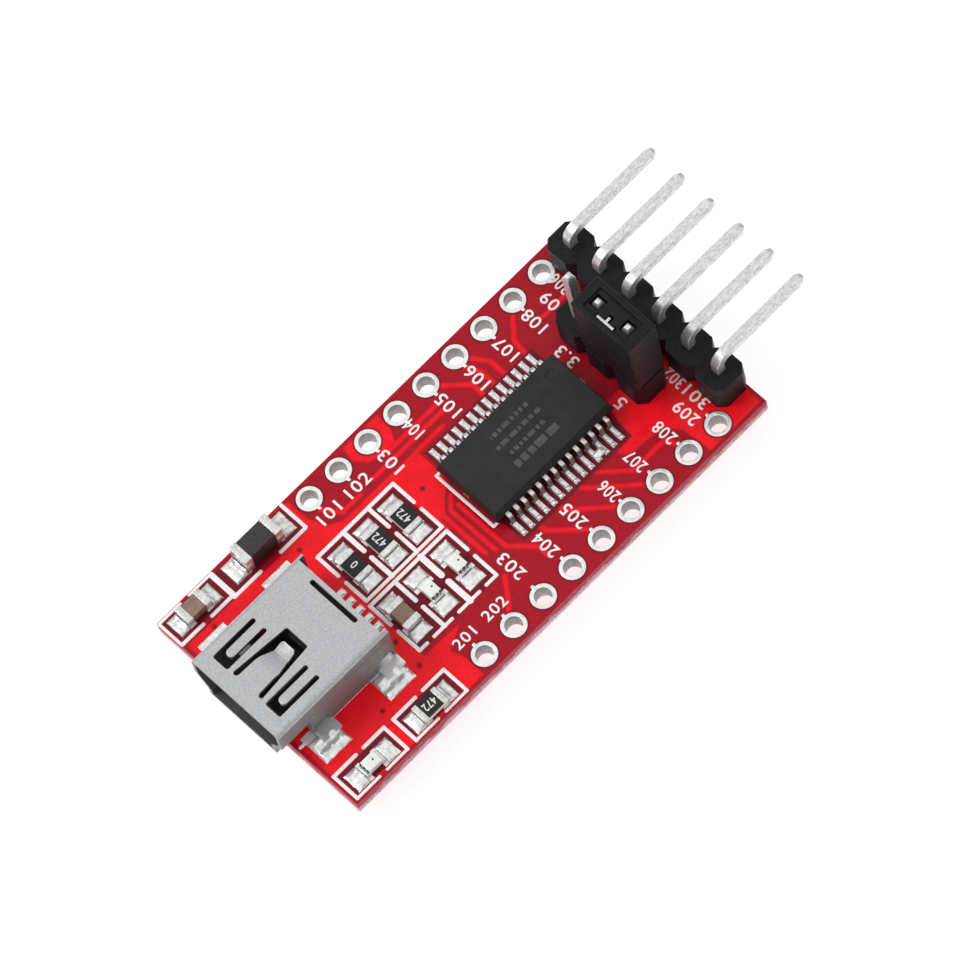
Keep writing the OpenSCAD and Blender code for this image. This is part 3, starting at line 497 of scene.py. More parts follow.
def plastic_finishes(settings):
    """All the plastics, ceramics and inks of the board, by name."""
    black = settings.black_plastic
    return {
        "strip_plastic": finish("strip_plastic", [c * 1.5 for c in black], [c * 0.7 for c in black],
                                (0.42, 0.62), patch=900, speck=7000, grain=7000, wave=1500,
                                wave_share=0.45, bump=0.6, depth=0.02, specular_ior_level=0.2),
        "insulator_plastic": finish("insulator_plastic", [c * 1.3 for c in black], black, (0.4, 0.6),
                                    patch=1200, bump=0.3, specular_ior_level=0.2),
        "chip_epoxy": finish("chip_epoxy", settings.chip_epoxy, [c * 0.72 for c in settings.chip_epoxy],
                             (0.5, 0.7), patch=800, speck=16000, grain=15000, wave=1000, wave_share=0.2,
                             bump=0.35, depth=0.012, specular_ior_level=0.3),
        "chip_mark": finish("chip_mark", (0.085, 0.085, 0.085), (0.045, 0.045, 0.046), (0.55, 0.75),
                            patch=3000, bump=0.2),
        "white_print": finish("white_print", settings.print_ink, [c * 0.86 for c in settings.print_ink],
                              (0.5, 0.7), patch=2200, bump=0.5, depth=0.01),
        "resistor_coat": finish("resistor_coat", (0.02, 0.018, 0.018), (0.01, 0.009, 0.009), (0.3, 0.5),
                                patch=1600, bump=0.4, depth=0.01, specular_ior_level=0.3),
        "code_ink": finish("code_ink", (0.86, 0.85, 0.8), (0.7, 0.68, 0.62), (0.5, 0.7), patch=3000),
        "white_ceramic": finish("white_ceramic", (0.88, 0.87, 0.85), (0.74, 0.73, 0.7), (0.4, 0.6),
                                patch=2400, bump=0.4),
        "tan_ceramic": finish("tan_ceramic", settings.tan_ceramic, [c * 0.62 for c in settings.tan_ceramic],
                              (0.42, 0.62), patch=2200, speck=9000, bump=0.5, depth=0.015),
        "brown_ceramic": finish("brown_ceramic", settings.brown_ceramic,
                                [c * 0.6 for c in settings.brown_ceramic], (0.38, 0.58), patch=1800,
                                speck=8000, bump=0.5, depth=0.015),
        "lamp_base": finish("lamp_base", (0.82, 0.8, 0.74), (0.66, 0.64, 0.56), (0.4, 0.6), patch=2600),
        "lamp_mark": finish("lamp_mark", (0.03, 0.12, 0.07), (0.015, 0.05, 0.03), (0.4, 0.6), patch=3000),
        "lamp_resin": finish("lamp_resin", (0.95, 0.95, 0.9), (0.8, 0.82, 0.74), (0.12, 0.3), patch=2400,
                             bump=0.25, subsurface_weight=0.35, subsurface_scale=0.0003, coat_weight=0.4),
        "silicon": finish("silicon", (0.3, 0.31, 0.34), (0.2, 0.2, 0.23), (0.15, 0.3), patch=2600),
    }


FINISHES = {}


def dress(node, material):
    """Gives a CAD node that stays in view a better finish."""
    slots = frame["nodes"][node].data.materials
    slots.clear()
    slots.append(material)


# ---- the board's copper, as drawn from its centre ----

LINE_W = 0.3                                  # usual width of a copper track
POURS = [                                     # corners of the broad copper areas
    [(-17.45, 6.3), (-7.0, 6.3), (-7.0, 8.48), (-6.75, 8.48), (-6.65, 6.6), (-6.1, 5.5), (-5.3, 5.02),
     (1.0, 5.02), (1.0, 2.2), (-1.25, 0.55), (-1.25, -0.2), (-1.45, -0.6), (-8.2, -0.6), (-8.2, -5.0),
     (-6.9, -5.0), (-5.3, -5.1), (-6.9, -5.9), (-6.6, -6.9), (-6.6, -8.5), (-17.45, -8.5)],
    [(-2.1, 7.4), (-1.9, 8.45), (1.05, 8.45), (1.0, 7.2), (0.5, 6.35), (-0.3, 6.3), (-1.5, 6.6)],
    [(9.2, -4.35), (10.6, -4.1), (10.95, -1.5), (17.45, -1.5), (17.45, -8.5), (13.1, -8.5), (13.0, -6.3),
     (12.2, -5.2), (9.6, -5.0)],
]
TRACKS = [                                    # runs of narrow copper
    [(-0.3, 6.2), (4.0, 6.2)],
    [(-2.1, 5.62), (4.2, 5.62)],
    [(-5.9, 6.9), (-4.9, 5.45), (-3.4, 5.45)],
    [(0.9, 4.9), (3.3, 4.9)],
    [(5.0, 7.0), (6.45, 5.5), (6.45, 4.2)],
    [(7.55, 6.9), (8.3, 5.8), (8.3, 4.2)],
    [(6.95, 6.7), (7.4, 5.7), (7.4, 4.2)],
    [(11.4, 6.9), (10.25, 5.6), (10.1, 4.2)],
    [(12.5, 5.45), (14.9, 5.45), (16.2, 6.6)],
    [(0.35, 2.0), (-0.92, 0.75), (-0.92, -3.0)],
    [(0.4, 1.3), (-0.35, 0.55), (-0.35, -3.3)],
    [(0.25, 0.5), (0.25, -3.6), (1.55, -5.1), (1.55, -6.0)],
    [(-1.2, -4.95), (-2.5, -6.6), (-3.0, -7.0)],
    [(2.6, -4.1), (2.6, -4.7), (4.3, -6.5)],
    [(4.25, -4.1), (4.4, -4.7), (6.8, -7.0)],
    [(6.0, -4.1), (6.15, -4.5), (8.7, -6.95)],
    [(7.2, -4.1), (9.0, -5.9), (11.7, -5.9), (12.1, -6.9)],
]
UNDER_TRACKS = [                              # the same on the underside
    [(-15.5, 5.97), (-12.0, 2.5), (-3.0, 2.5), (0.5, 6.0), (9.6, 6.0)],
    [(-12.45, -5.6), (-9.5, -2.6), (2.0, -2.6), (5.4, -6.0), (10.4, -6.0)],
    [(-8.45, 5.65), (-6.0, 4.0), (6.0, 4.0), (8.0, 2.0), (12.2, 2.0)],
    [(-8.85, -5.2), (-7.2, -4.5), (-5.05, -4.5), (-2.68, -4.5), (1.5, -0.5), (11.8, -0.5)],
    [(-0.5, 2.9), (4.0, 2.9), (5.5, 1.2), (15.0, 1.2)],
]
UNDER_POUR = [(-17.4, -8.4), (17.4, -8.4), (17.4, 8.4), (-17.4, 8.4)]
UNDER_GAP = 0.4                               # clearance of that copper from the tracks' middles
OPENINGS = [                                  # areas without copper round the lands: low x, y, high x, y
    (-17.55, 6.75, -13.45, 8.5), (-13.1, 6.6, -7.3, 8.5), (-17.35, -8.35, -13.25, -6.55),
    (-12.3, -8.35, -8.15, -6.6), (-7.95, 0.25, -1.6, 4.35), (-8.05, -4.4, -1.6, -0.25),
    (1.2, 3.2, 10.6, 4.5), (1.2, -4.25, 10.6, -1.9), (-8.1, -0.06, -1.5, 0.06),
]


def distance_to_run(points, x, y):
    """Distance from each x, y to a run of straight lines."""
    best = np.full(x.shape, 1e9)
    for (ax, ay), (bx, by) in zip(points, points[1:]):
        dx, dy = bx - ax, by - ay
        t = np.clip(((x - ax) * dx + (y - ay) * dy) / (dx * dx + dy * dy), 0, 1)
        best = np.minimum(best, np.hypot(x - ax - t * dx, y - ay - t * dy))
    return best


def depth_in_area(corners, x, y):
    """How far each x, y lies inside a closed outline; negative outside."""
    closed = corners + corners[:1]
    inside = np.zeros(x.shape, bool)
    for (ax, ay), (bx, by) in zip(closed, closed[1:]):
        if ay != by:
            crosses = ((ay > y) != (by > y)) & (x < (bx - ax) * (y - ay) / (by - ay) + ax)
            inside ^= crosses
    away = distance_to_run(closed, x, y)
    return np.where(inside, away, -away)


def soft_step(depth, width=0.1):
    """0 outside an edge and 1 inside it, going from one to the other over width. depth is how far inside."""
    return np.clip(0.5 + depth / width, 0, 1)


def copper_cover(x, y, pours, tracks, softness=0.09):
    """Share of copper at each x, y, from 0 on bare laminate to 1."""
    depth = np.full(x.shape, -1e9)
    for corners in pours:
        depth = np.maximum(depth, depth_in_area(corners, x, y))
    for run in tracks:
        depth = np.maximum(depth, LINE_W / 2 - distance_to_run(run, x, y))
    return soft_step(depth, softness)


def under_copper_cover(x, y):
    """The same for the underside, whose broad copper keeps clear of its tracks."""
    clear = np.ones(x.shape)
    for run in UNDER_TRACKS:
        clear = np.minimum(clear, soft_step(distance_to_run(run, x, y) - UNDER_GAP))
    broad = soft_step(depth_in_area(UNDER_POUR, x, y)) * clear
    return np.maximum(broad, copper_cover(x, y, [], UNDER_TRACKS, 0.1))


def opening_cover(x, y, rings):
    """Share of the areas round the lands at each x, y, from 0 to 1. rings are (x, y, radius)."""
    depth = np.full(x.shape, -1e9)
    for x0, y0, x1, y1 in OPENINGS:
        depth = np.maximum(depth, np.minimum(np.minimum(x - x0, x1 - x), np.minimum(y - y0, y1 - y)))
    return np.maximum(soft_step(depth), ring_cover(x, y, rings))


def ring_cover(x, y, rings):
    """Share of the discs (x, y, radius) at each x, y, from 0 to 1."""
    depth = np.full(x.shape, -1e9)
    for cx, cy, radius in rings:
        depth = np.maximum(depth, radius - np.hypot(x - cx, y - cy))
    return soft_step(depth)


def lacquer_sheet(settings, cell, facing, cover_of, cuts):
    """A thin sheet of lacquer over one side of the board, raised where copper runs under it. cuts are the
    (node, radius) of the holes through it."""
    length, width = BOARD_HIGH.x - BOARD_LOW.x, BOARD_HIGH.y - BOARD_LOW.y
    inset = 0.005
    bm = bmesh.new()
    made = bmesh.ops.create_grid(bm, x_segments=round(length / cell), y_segments=round(width / cell),
                                 size=0.5)
    bmesh.ops.scale(bm, vec=(length - 2 * inset, width - 2 * inset, 1), verts=bm.verts)
    surface = made["verts"]
    rim = [e for e in bm.edges if e.is_boundary]
    walls = bmesh.ops.extrude_edge_only(bm, edges=rim)["geom"]
    foot = [g for g in walls if isinstance(g, bmesh.types.BMVert)]
    foot_edges = [g for g in walls if isinstance(g, bmesh.types.BMEdge) and g.is_boundary]
    bmesh.ops.contextual_create(bm, geom=foot_edges)
    x = np.array([v.co.x for v in surface])
    y = np.array([v.co.y for v in surface])
    copper, opening = cover_of(x, y)
    rise = settings.lacquer_thickness / MM + settings.copper_thickness / MM * copper * (1 - opening)
    for vert, height in zip(surface, rise):
        vert.co.z = height
    for vert in foot:
        vert.co.z = 0
    bmesh.ops.recalc_face_normals(bm, faces=bm.faces)
    if facing < 0:
        bmesh.ops.scale(bm, vec=(1, 1, -1), verts=bm.verts)
        bmesh.ops.reverse_faces(bm, faces=bm.faces)
    level = TOP if facing > 0 else BOARD_LOW.z
    bmesh.ops.translate(bm, vec=(BOARD_CENTRE.x, BOARD_CENTRE.y, level), verts=bm.verts)
    cutter = bmesh.new()
    for node, radius in cuts:
        for low, high in solids_mm(node):
            centre = (low + high) / 2
            bmesh.ops.create_cone(cutter, cap_ends=True, segments=32, radius1=radius, radius2=radius,
                                  depth=1.0, matrix=Matrix.Translation((centre.x, centre.y, level)))
    return carved(bm, cutter)


def paint_cover(obj, cover_of):
    """Stores the copper and opening shares on a finished sheet's points."""
    points = np.empty(len(obj.data.vertices) * 3)
    obj.data.vertices.foreach_get("co", points)
    points = points.reshape(-1, 3) / MM
    shares = cover_of(points[:, 0] - BOARD_CENTRE.x, points[:, 1] - BOARD_CENTRE.y)
    for label, share in zip(("copper", "opening"), shares):
        layer = obj.data.attributes.new(label, "FLOAT", "POINT")
        layer.data.foreach_set("value", share.astype(np.float32))


def hole_rings(node, extra):
    """Places of the plated holes from the board's centre, with their outer radius grown by extra."""
    rings = []
    for low, high in solids_mm(node):
        centre = (low + high) / 2 - BOARD_CENTRE
        rings.append((centre.x, centre.y, (high.x - low.x) / 2 + extra))
    return rings


# ---- printed lines and numbers, from the board's centre ----

def lines_with_gap(start, end, gap):
    """A straight line broken between two places along it, given on the axis that the line follows."""
    axis = 0 if abs(end[0] - start[0]) > abs(end[1] - start[1]) else 1
    middle = [list(start), list(start)]
    middle[0][axis], middle[1][axis] = gap
    return [(start, tuple(middle[0])), (tuple(middle[1]), end)]


def group_box(left, right, low, high, gap, dividers):
    """A printed box round a group of components, its upright lines broken at gap."""
    lines = [((left, high), (right, high), 0.27)]
    for x, width in [(left, 0.26), (right, 0.26)] + dividers:
        lines += [(a, b, width) for a, b in lines_with_gap((x, high), (x, low), gap)]
    return lines


def printed_lines():
    """Every printed line: start, end, width."""
    lines = group_box(-8.05, -1.5, 0.2, 4.48, (2.65, 1.98), [(-5.83, 0.33), (-3.68, 0.28)])
    lines += group_box(-8.15, -1.5, -4.52, -0.2, (-2.02, -2.65), [(-6.0, 0.3), (-3.77, 0.42)])
    lines.append(((-8.05, 0.2), (-1.5, 0.2), 0.24))
    lines += [((a, -4.52), (b, -4.52), 0.24)
              for a, b in [(-8.15, -7.5), (-6.9, -5.35), (-4.75, -2.98), (-2.38, -1.5)]]
    for start, end, gap, width in [
            ((-17.65, 8.6), (-13.25, 8.6), (-15.85, -15.1), 0.2),
            ((-17.65, 6.57), (-13.4, 6.57), (-15.85, -15.1), 0.26),
            ((-13.3, 6.42), (-7.2, 6.42), (-11.05, -9.3), 0.26),
            ((-17.45, -6.43), (-13.15, -6.43), (-15.55, -14.9), 0.26),
            ((-17.45, -8.5), (-13.15, -8.5), (-15.55, -14.9), 0.2),
            ((-12.4, -6.48), (-8.05, -6.48), (-10.5, -9.85), 0.26),
            ((-12.4, -8.5), (-8.05, -8.5), (-10.5, -9.85), 0.2),
            ((-17.5, -3.6), (-11.8, -3.6), (-17.2, -14.7), 0.22)]:
        lines += [(a, b, width) for a, b in lines_with_gap(start, end, gap)]
    for x, low, high, width in [
            (-17.68, 6.57, 8.6, 0.2), (-13.25, 6.57, 8.54, 0.38), (-7.13, 6.45, 8.6, 0.26),
            (-17.45, -8.5, -6.43, 0.24), (-13.15, -8.5, -6.43, 0.24), (-12.4, -8.5, -6.48, 0.26),
            (-8.05, -8.5, -6.48, 0.24), (0.65, -2.15, 2.85, 0.22)]:
        lines.append(((x, low), (x, high), width))
    lines += [((0.65, 2.85), (0.95, 2.85), 0.2), ((0.65, -2.15), (0.95, -2.15), 0.2)]
    return lines


def printed_numbers():
    """Every printed number: text, length, height, middle x, middle y, turn in degrees."""
    height = 0.85
    numbers = [("101", 1.85, height, -5.5, 6.02, 0), ("102", 1.85, height, -3.02, 6.02, 0),
               ("201", 2.6, 0.75, -5.75, -5.98, 0), ("202", 1.8, 0.75, -3.15, -5.98, 0)]
    for text, length, x, y in [
            ("103", 1.75, -0.58, 5.62), ("104", 1.1, 1.9, 6.12), ("105", 1.75, 4.45, 5.62),
            ("106", 1.75, 6.95, 5.62), ("107", 1.75, 9.5, 5.62), ("108", 1.75, 12.0, 5.62),
            ("109", 1.75, 13.6, 5.6), ("306", 0.9, 14.85, 6.2), ("203", 2.8, -0.5, -4.8),
            ("204", 1.8, 1.9, -5.38), ("205", 1.85, 4.4, -5.32), ("206", 1.25, 7.0, -5.78),
            ("207", 1.5, 9.5, -5.6), ("208", 1.6, 12.05, -5.6), ("209", 1.8, 13.85, -5.68),
            ("301", 1.8, 15.05, -5.4), ("302", 1.25, 15.05, -3.5), ("3.3", 1.9, 11.65, 2.45),
            ("5", 0.75, 11.65, -2.2)]:
        numbers.append((text, length, height, x, y, 90))
    return numbers


# ---- solder ----

SOLDER_RIM = 0.012                            # thickness of solder at a land's edge
SOLDER_SHOULDER = 0.09                        # distance in which it rises from that edge
SOLDER_FALL = 0.16                            # distance in which it falls away from an end cap


def solder_patch(bm, low, high, wall, axis, sign, rise, seed, spill=0.06):
    """Solder on the land from low to high. It climbs by rise at a component's end face, which stands at
    `wall` along the axis (0 or 1), and runs thin towards the land's far edge on the side of sign."""
    rng = random.Random(seed)
    along, across = (12, 10) if axis == 0 else (10, 12)
    made = bmesh.ops.create_grid(bm, x_segments=along, y_segments=across, size=0.5)
    span = Vector((high.x - low.x, high.y - low.y, 1))
    middle = (low + high) / 2
    bmesh.ops.scale(bm, vec=span, verts=made["verts"])
    bmesh.ops.translate(bm, vec=(middle.x, middle.y, 0), verts=made["verts"])
    phase = [rng.uniform(0, 6.28) for _ in range(2)]
    surface = made["verts"]
    rim = list({e for v in surface for e in v.link_edges if e.is_boundary})
    walls = bmesh.ops.extrude_edge_only(bm, edges=rim)["geom"]
    foot = [g for g in walls if isinstance(g, bmesh.types.BMVert)]
    floor_edges = [g for g in walls if isinstance(g, bmesh.types.BMEdge) and g.is_boundary]
    bmesh.ops.contextual_create(bm, geom=floor_edges)
    for vert in surface:
        x, y = vert.co.x, vert.co.y
        out = (vert.co[axis] - wall) * sign
        edge = min(x - low.x, high.x - x, y - low.y, high.y - y)
        dome = 1 - math.exp(-max(edge, 0) / SOLDER_SHOULDER)
        ripple = 0.5 + 0.25 * math.sin(x * 7.1 + phase[0]) + 0.25 * math.sin(y * 8.3 + phase[1])
        climb = rise * math.exp(-max(out, 0) / (SOLDER_FALL + 0.1 * ripple))
        vert.co.z = low.z + SOLDER_RIM + dome * (spill * (0.5 + ripple) + climb)
    for vert in foot:
        vert.co.z = low.z
    bmesh.ops.recalc_face_normals(bm, faces=list({f for v in surface + foot for f in v.link_faces}))


# ---- settings and operators ----

def colour(label, description, default):
    """A colour the user can set."""
    return bpy.props.FloatVectorProperty(name=label, description=description, subtype="COLOR", min=0,
                                         max=1, default=default)


class AdapterBoardSettings(bpy.types.PropertyGroup):
    """Sizes and colours of the board's finish."""

    copper_lacquer: colour("Lacquer over copper", "Colour of the lacquer where copper lies under it",
                           (0.92, 0.004, 0.014))
    bare_lacquer: colour("Lacquer over laminate", "Colour of the lacquer where no copper lies under it",
                         (0.4, 0.002, 0.014))
    open_lacquer: colour("Laminate round lands", "Colour of the gaps round the lands",
                         (0.17, 0.003, 0.012))
    laminate: colour("Laminate", "Colour of the sawn edge", (0.78, 0.58, 0.62))
    print_ink: colour("Print", "Colour of the printed lines and numbers", (1.0, 0.95, 0.96))
    tin: colour("Tin", "Colour of tinned metal and solder", (0.9, 0.895, 0.885))
    shell_steel: colour("Socket steel", "Colour of the socket's shell", (0.56, 0.57, 0.58))
    black_plastic: colour("Black plastic", "Colour of the strips and the jumper", (0.008, 0.008, 0.01))
    chip_epoxy: colour("Chip", "Colour of the chip's body", (0.022, 0.022, 0.023))
    tan_ceramic: colour("Small capacitors", "Colour of the small capacitors", (0.3, 0.2, 0.14))
    brown_ceramic: colour("Large capacitor", "Colour of the large capacitor", (0.036, 0.025, 0.022))
    copper_thickness: bpy.props.FloatProperty(
        name="Copper step", description="How far the lacquer stands up over copper", unit="LENGTH",
        default=0.028 * MM, min=0, max=0.035 * MM, precision=6)
    lacquer_thickness: bpy.props.FloatProperty(
        name="Lacquer", description="Thickness of the lacquer on bare laminate", unit="LENGTH",
        default=0.006 * MM, min=0.001 * MM, max=0.02 * MM, precision=6)
    line_cell: bpy.props.FloatProperty(
        name="Relief cell", description="Grid size of the lacquer's relief", unit="LENGTH",
        default=0.1 * MM, min=0.05 * MM, max=0.5 * MM, precision=6)
    edge_radius: bpy.props.FloatProperty(
        name="Edge radius", description="Rounding of cut metal edges", unit="LENGTH",
        default=0.03 * MM, min=0, max=0.08 * MM, precision=6)
    key_power: bpy.props.FloatProperty(
        name="Key light", description="Power of the soft light over the board", unit="POWER",
        default=1.0, min=0, max=50)
    fill: bpy.props.FloatProperty(
        name="Fill light", description="Strength of the even light overhead", default=0.95, min=0, max=3)
    dusk: bpy.props.FloatProperty(
        name="Horizon light", description="Share of the fill light that is left at the horizon",
        subtype="FACTOR", default=0.22, min=0, max=1)


class ADAPTER_OT_stage(bpy.types.Operator):
    """Camera, floor and lights"""

    bl_idname = "adapter.stage"
    bl_label = "Stage"
    bl_options = {"REGISTER", "UNDO"}

    CAMERA_PLACE = (-101.61, -180.56, 465.3)     # millimetres, with heights above the board's top
    CAMERA_TARGET = (-2.24, 0.665, 0.0)
    CAMERA_ROLL = -17.817                        # degrees
    CAMERA_LENS = 312.76
    KEY_PLACE = (-0.28, 0.24, 0.36)              # metres
    KEY_SIZE = 0.25
    FLOOR_HALF_SIZE = 0.6
    FLOOR_GAP = 0.01                             # millimetres between the floor and the lowest solder
    FLOOR_GREY = 0.3
    FLOOR_GLOW = 0.8
    LOW_SKY, HIGH_SKY = 0.1, 0.85                # heights between which the sky brightens

    def execute(self, context):
        settings = context.scene.adapter_board
        scene = bpy.context.scene
        scene.view_settings.view_transform = "Standard"
        self.camera(scene)
        self.floor()
        self.key_light(settings)
        self.sky(scene, settings)
        return {"FINISHED"}

    def sky(self, scene, settings):
        """Even light that is strongest overhead and weakest at the horizon."""
        world = bpy.data.worlds.new("soft_box")
        world.use_nodes = True
        w = Wiring(world.node_tree)
        direction = w.node("ShaderNodeSeparateXYZ",
                           {"Vector": w.node("ShaderNodeTexCoord").outputs["Generated"]})
        level = w.node("ShaderNodeMapRange", {"Value": direction.outputs["Z"], "From Min": self.LOW_SKY,
                                              "From Max": self.HIGH_SKY,
                                              "To Min": settings.fill * settings.dusk,
                                              "To Max": settings.fill}, interpolation_type="SMOOTHSTEP")
        background = world.node_tree.nodes["Background"]
        background.inputs["Color"].default_value = (1, 1, 1, 1)
        w.tree.links.new(level.outputs[0], background.inputs["Strength"])
        scene.world = world

    def camera(self, scene):
        """A long lens that looks down on the board from beside the socket's end."""
        data = bpy.data.cameras.new("camera")
        data.sensor_width = 36.0
        data.lens = self.CAMERA_LENS
        data.clip_start, data.clip_end = 0.01, 5.0
        camera = bpy.data.objects.new("camera", data)
        scene.collection.objects.link(camera)
        board_top = Vector((0, 0, TOP))
        place = (Vector(self.CAMERA_PLACE) + board_top) * MM
        target = (Vector(self.CAMERA_TARGET) + board_top) * MM
        roll = math.radians(self.CAMERA_ROLL)
        camera.location = place
        camera.rotation_mode = "QUATERNION"
        camera.rotation_quaternion = (target - place).to_track_quat("-Z", "Y") @ Quaternion((0, 0, 1), roll)
        scene.camera = camera

    def floor(self):
        """A pale floor that glows enough to look white."""
        bm = bmesh.new()
        bmesh.ops.create_grid(bm, x_segments=1, y_segments=1, size=self.FLOOR_HALF_SIZE)
        bmesh.ops.translate(bm, vec=(0, 0, CAD_BOX[0].z - self.FLOOR_GAP * MM), verts=bm.verts)
        mesh = bpy.data.meshes.new("floor")
        bm.to_mesh(mesh)
        bm.free()
        floor = bpy.data.objects.new("floor", mesh)
        bpy.context.scene.collection.objects.link(floor)
        light, dark = [self.FLOOR_GREY] * 3, [self.FLOOR_GREY - 0.01] * 3
        mesh.materials.append(finish("pale_floor", light, dark, (0.7, 0.8), patch=40, speck=300, bump=0.0,
                                     emission_color=(1, 1, 1, 1), emission_strength=self.FLOOR_GLOW))

    def key_light(self, settings):
        """A soft disc of light over the far side of the board, turned to the board's middle."""
        data = bpy.data.lights.new("key", "AREA")
        data.shape = "DISK"
        data.size = self.KEY_SIZE
        data.energy = settings.key_power
        light = bpy.data.objects.new("key", data)
        light.location = self.KEY_PLACE
        light.rotation_mode = "QUATERNION"
        light.rotation_quaternion = (-Vector(self.KEY_PLACE)).to_track_quat("-Z", "Y")
        bpy.context.scene.collection.objects.link(light)


class ADAPTER_OT_laminate(bpy.types.Operator):
    """Glass-fibre core of the board"""

    bl_idname = "adapter.laminate"
    bl_label = "Laminate"
    bl_options = {"REGISTER", "UNDO"}

    def execute(self, context):
        settings = context.scene.adapter_board
        dress("circuit_board", laminate_finish(settings))
        return {"FINISHED"}


class ADAPTER_OT_lacquer(bpy.types.Operator):
    """Lacquer over the copper, on both sides of the board"""

    bl_idname = "adapter.lacquer"
    bl_label = "Lacquer"
    bl_options = {"REGISTER", "UNDO"}

    PIN_HOLE_MARGIN = 0.1                    # dark margin round a pin hole's ring
    VIA_MARGIN = -0.02
    PIN_HOLE_CUT = 0.6                       # radii of the holes through the lacquer
    HEADER_HOLE_CUT = 0.55
    UNDER_COARSENESS = 1.6                   # how much coarser the hidden side's grid is

    def execute(self, context):
        settings = context.scene.adapter_board
        material = lacquer_finish(settings)
        rings = (hole_rings("hole_plating", self.PIN_HOLE_MARGIN)
                 + hole_rings("via_plating", self.VIA_MARGIN))

        def over(x, y):
            return copper_cover(x, y, POURS, TRACKS), opening_cover(x, y, rings)

        def under(x, y):
            return under_copper_cover(x, y), ring_cover(x, y, rings)

        cell = settings.line_cell / MM
        pin_holes = ("hole_plating", self.PIN_HOLE_CUT)
        for name, facing, cover, size, cuts in [
                ("top_lacquer", 1, over, cell, [pin_holes]),
                ("under_lacquer", -1, under, cell * self.UNDER_COARSENESS,
                 [pin_holes, ("header_plating", self.HEADER_HOLE_CUT)])]:
            bm = lacquer_sheet(settings, size, facing, cover, cuts)
            sheet = piece(name, bm, material, "circuit_board", smooth_angle=60)
            paint_cover(sheet, cover)
        return {"FINISHED"}


class ADAPTER_OT_print(bpy.types.Operator):
    """White printed lines and numbers"""

    bl_idname = "adapter.print"
    bl_label = "Print"
    bl_options = {"REGISTER", "UNDO"}

    LINE_LEVEL = 0.03                        # height of a line's middle above the laminate
    LINE_THICKNESS = 0.05
    NUMBER_LEVEL = 0.025                     # height of a number's underside

    def execute(self, context):
        lines = bmesh.new()
        for start, end, width in printed_lines():
            add_pill(lines, on_board(*start, self.LINE_LEVEL), on_board(*end, self.LINE_LEVEL), width,
                     self.LINE_THICKNESS)
        piece("printed_lines", lines, FINISHES["white_print"], "circuit_board")
        numbers = bmesh.new()
        for text, length, height, x, y, turn in printed_numbers():
            add_lettering(numbers, text, (length, height), on_board(x, y, self.NUMBER_LEVEL), turn)
        piece("printed_numbers", numbers, FINISHES["white_print"], "circuit_board")
        return {"FINISHED"}


class ADAPTER_OT_plating(bpy.types.Operator):
    """Tinned holes and vias"""

    bl_idname = "adapter.plating"
    bl_label = "Plated holes"
    bl_options = {"REGISTER", "UNDO"}

    STUB_IN, STUB_OUT = 0.1, 0.08            # how far a stub reaches into its ring and out of it
    STUB_W, STUB_T, STUB_LEVEL = 0.22, 0.03, 0.025

    def execute(self, context):
        tinned = FINISHES["tinned_copper"]
        eyelets = soft_node("hole_plating", "pin_hole_eyelets", tinned, 0.015, angle=60)
        # painted shade: the holes' inner walls get a darker tin
        paint_shade_on_upright_faces(eyelets, FINISHES["painted_shade_bore_tin"], 0.3)
        dress("header_plating", tinned)
        dress("via_plating", FINISHES["bare_copper"])
        bm = bmesh.new()
        for x, y, radius in hole_rings("hole_plating", 0.0):
            inward = -math.copysign(1, y)
            start, end = (on_board(x, y + inward * reach, self.STUB_LEVEL)
                          for reach in (radius - self.STUB_IN, radius + self.STUB_OUT))
            add_pill(bm, start, end, self.STUB_W, self.STUB_T)
        piece("ring_stubs", bm, tinned, "hole_plating")
        return {"FINISHED"}


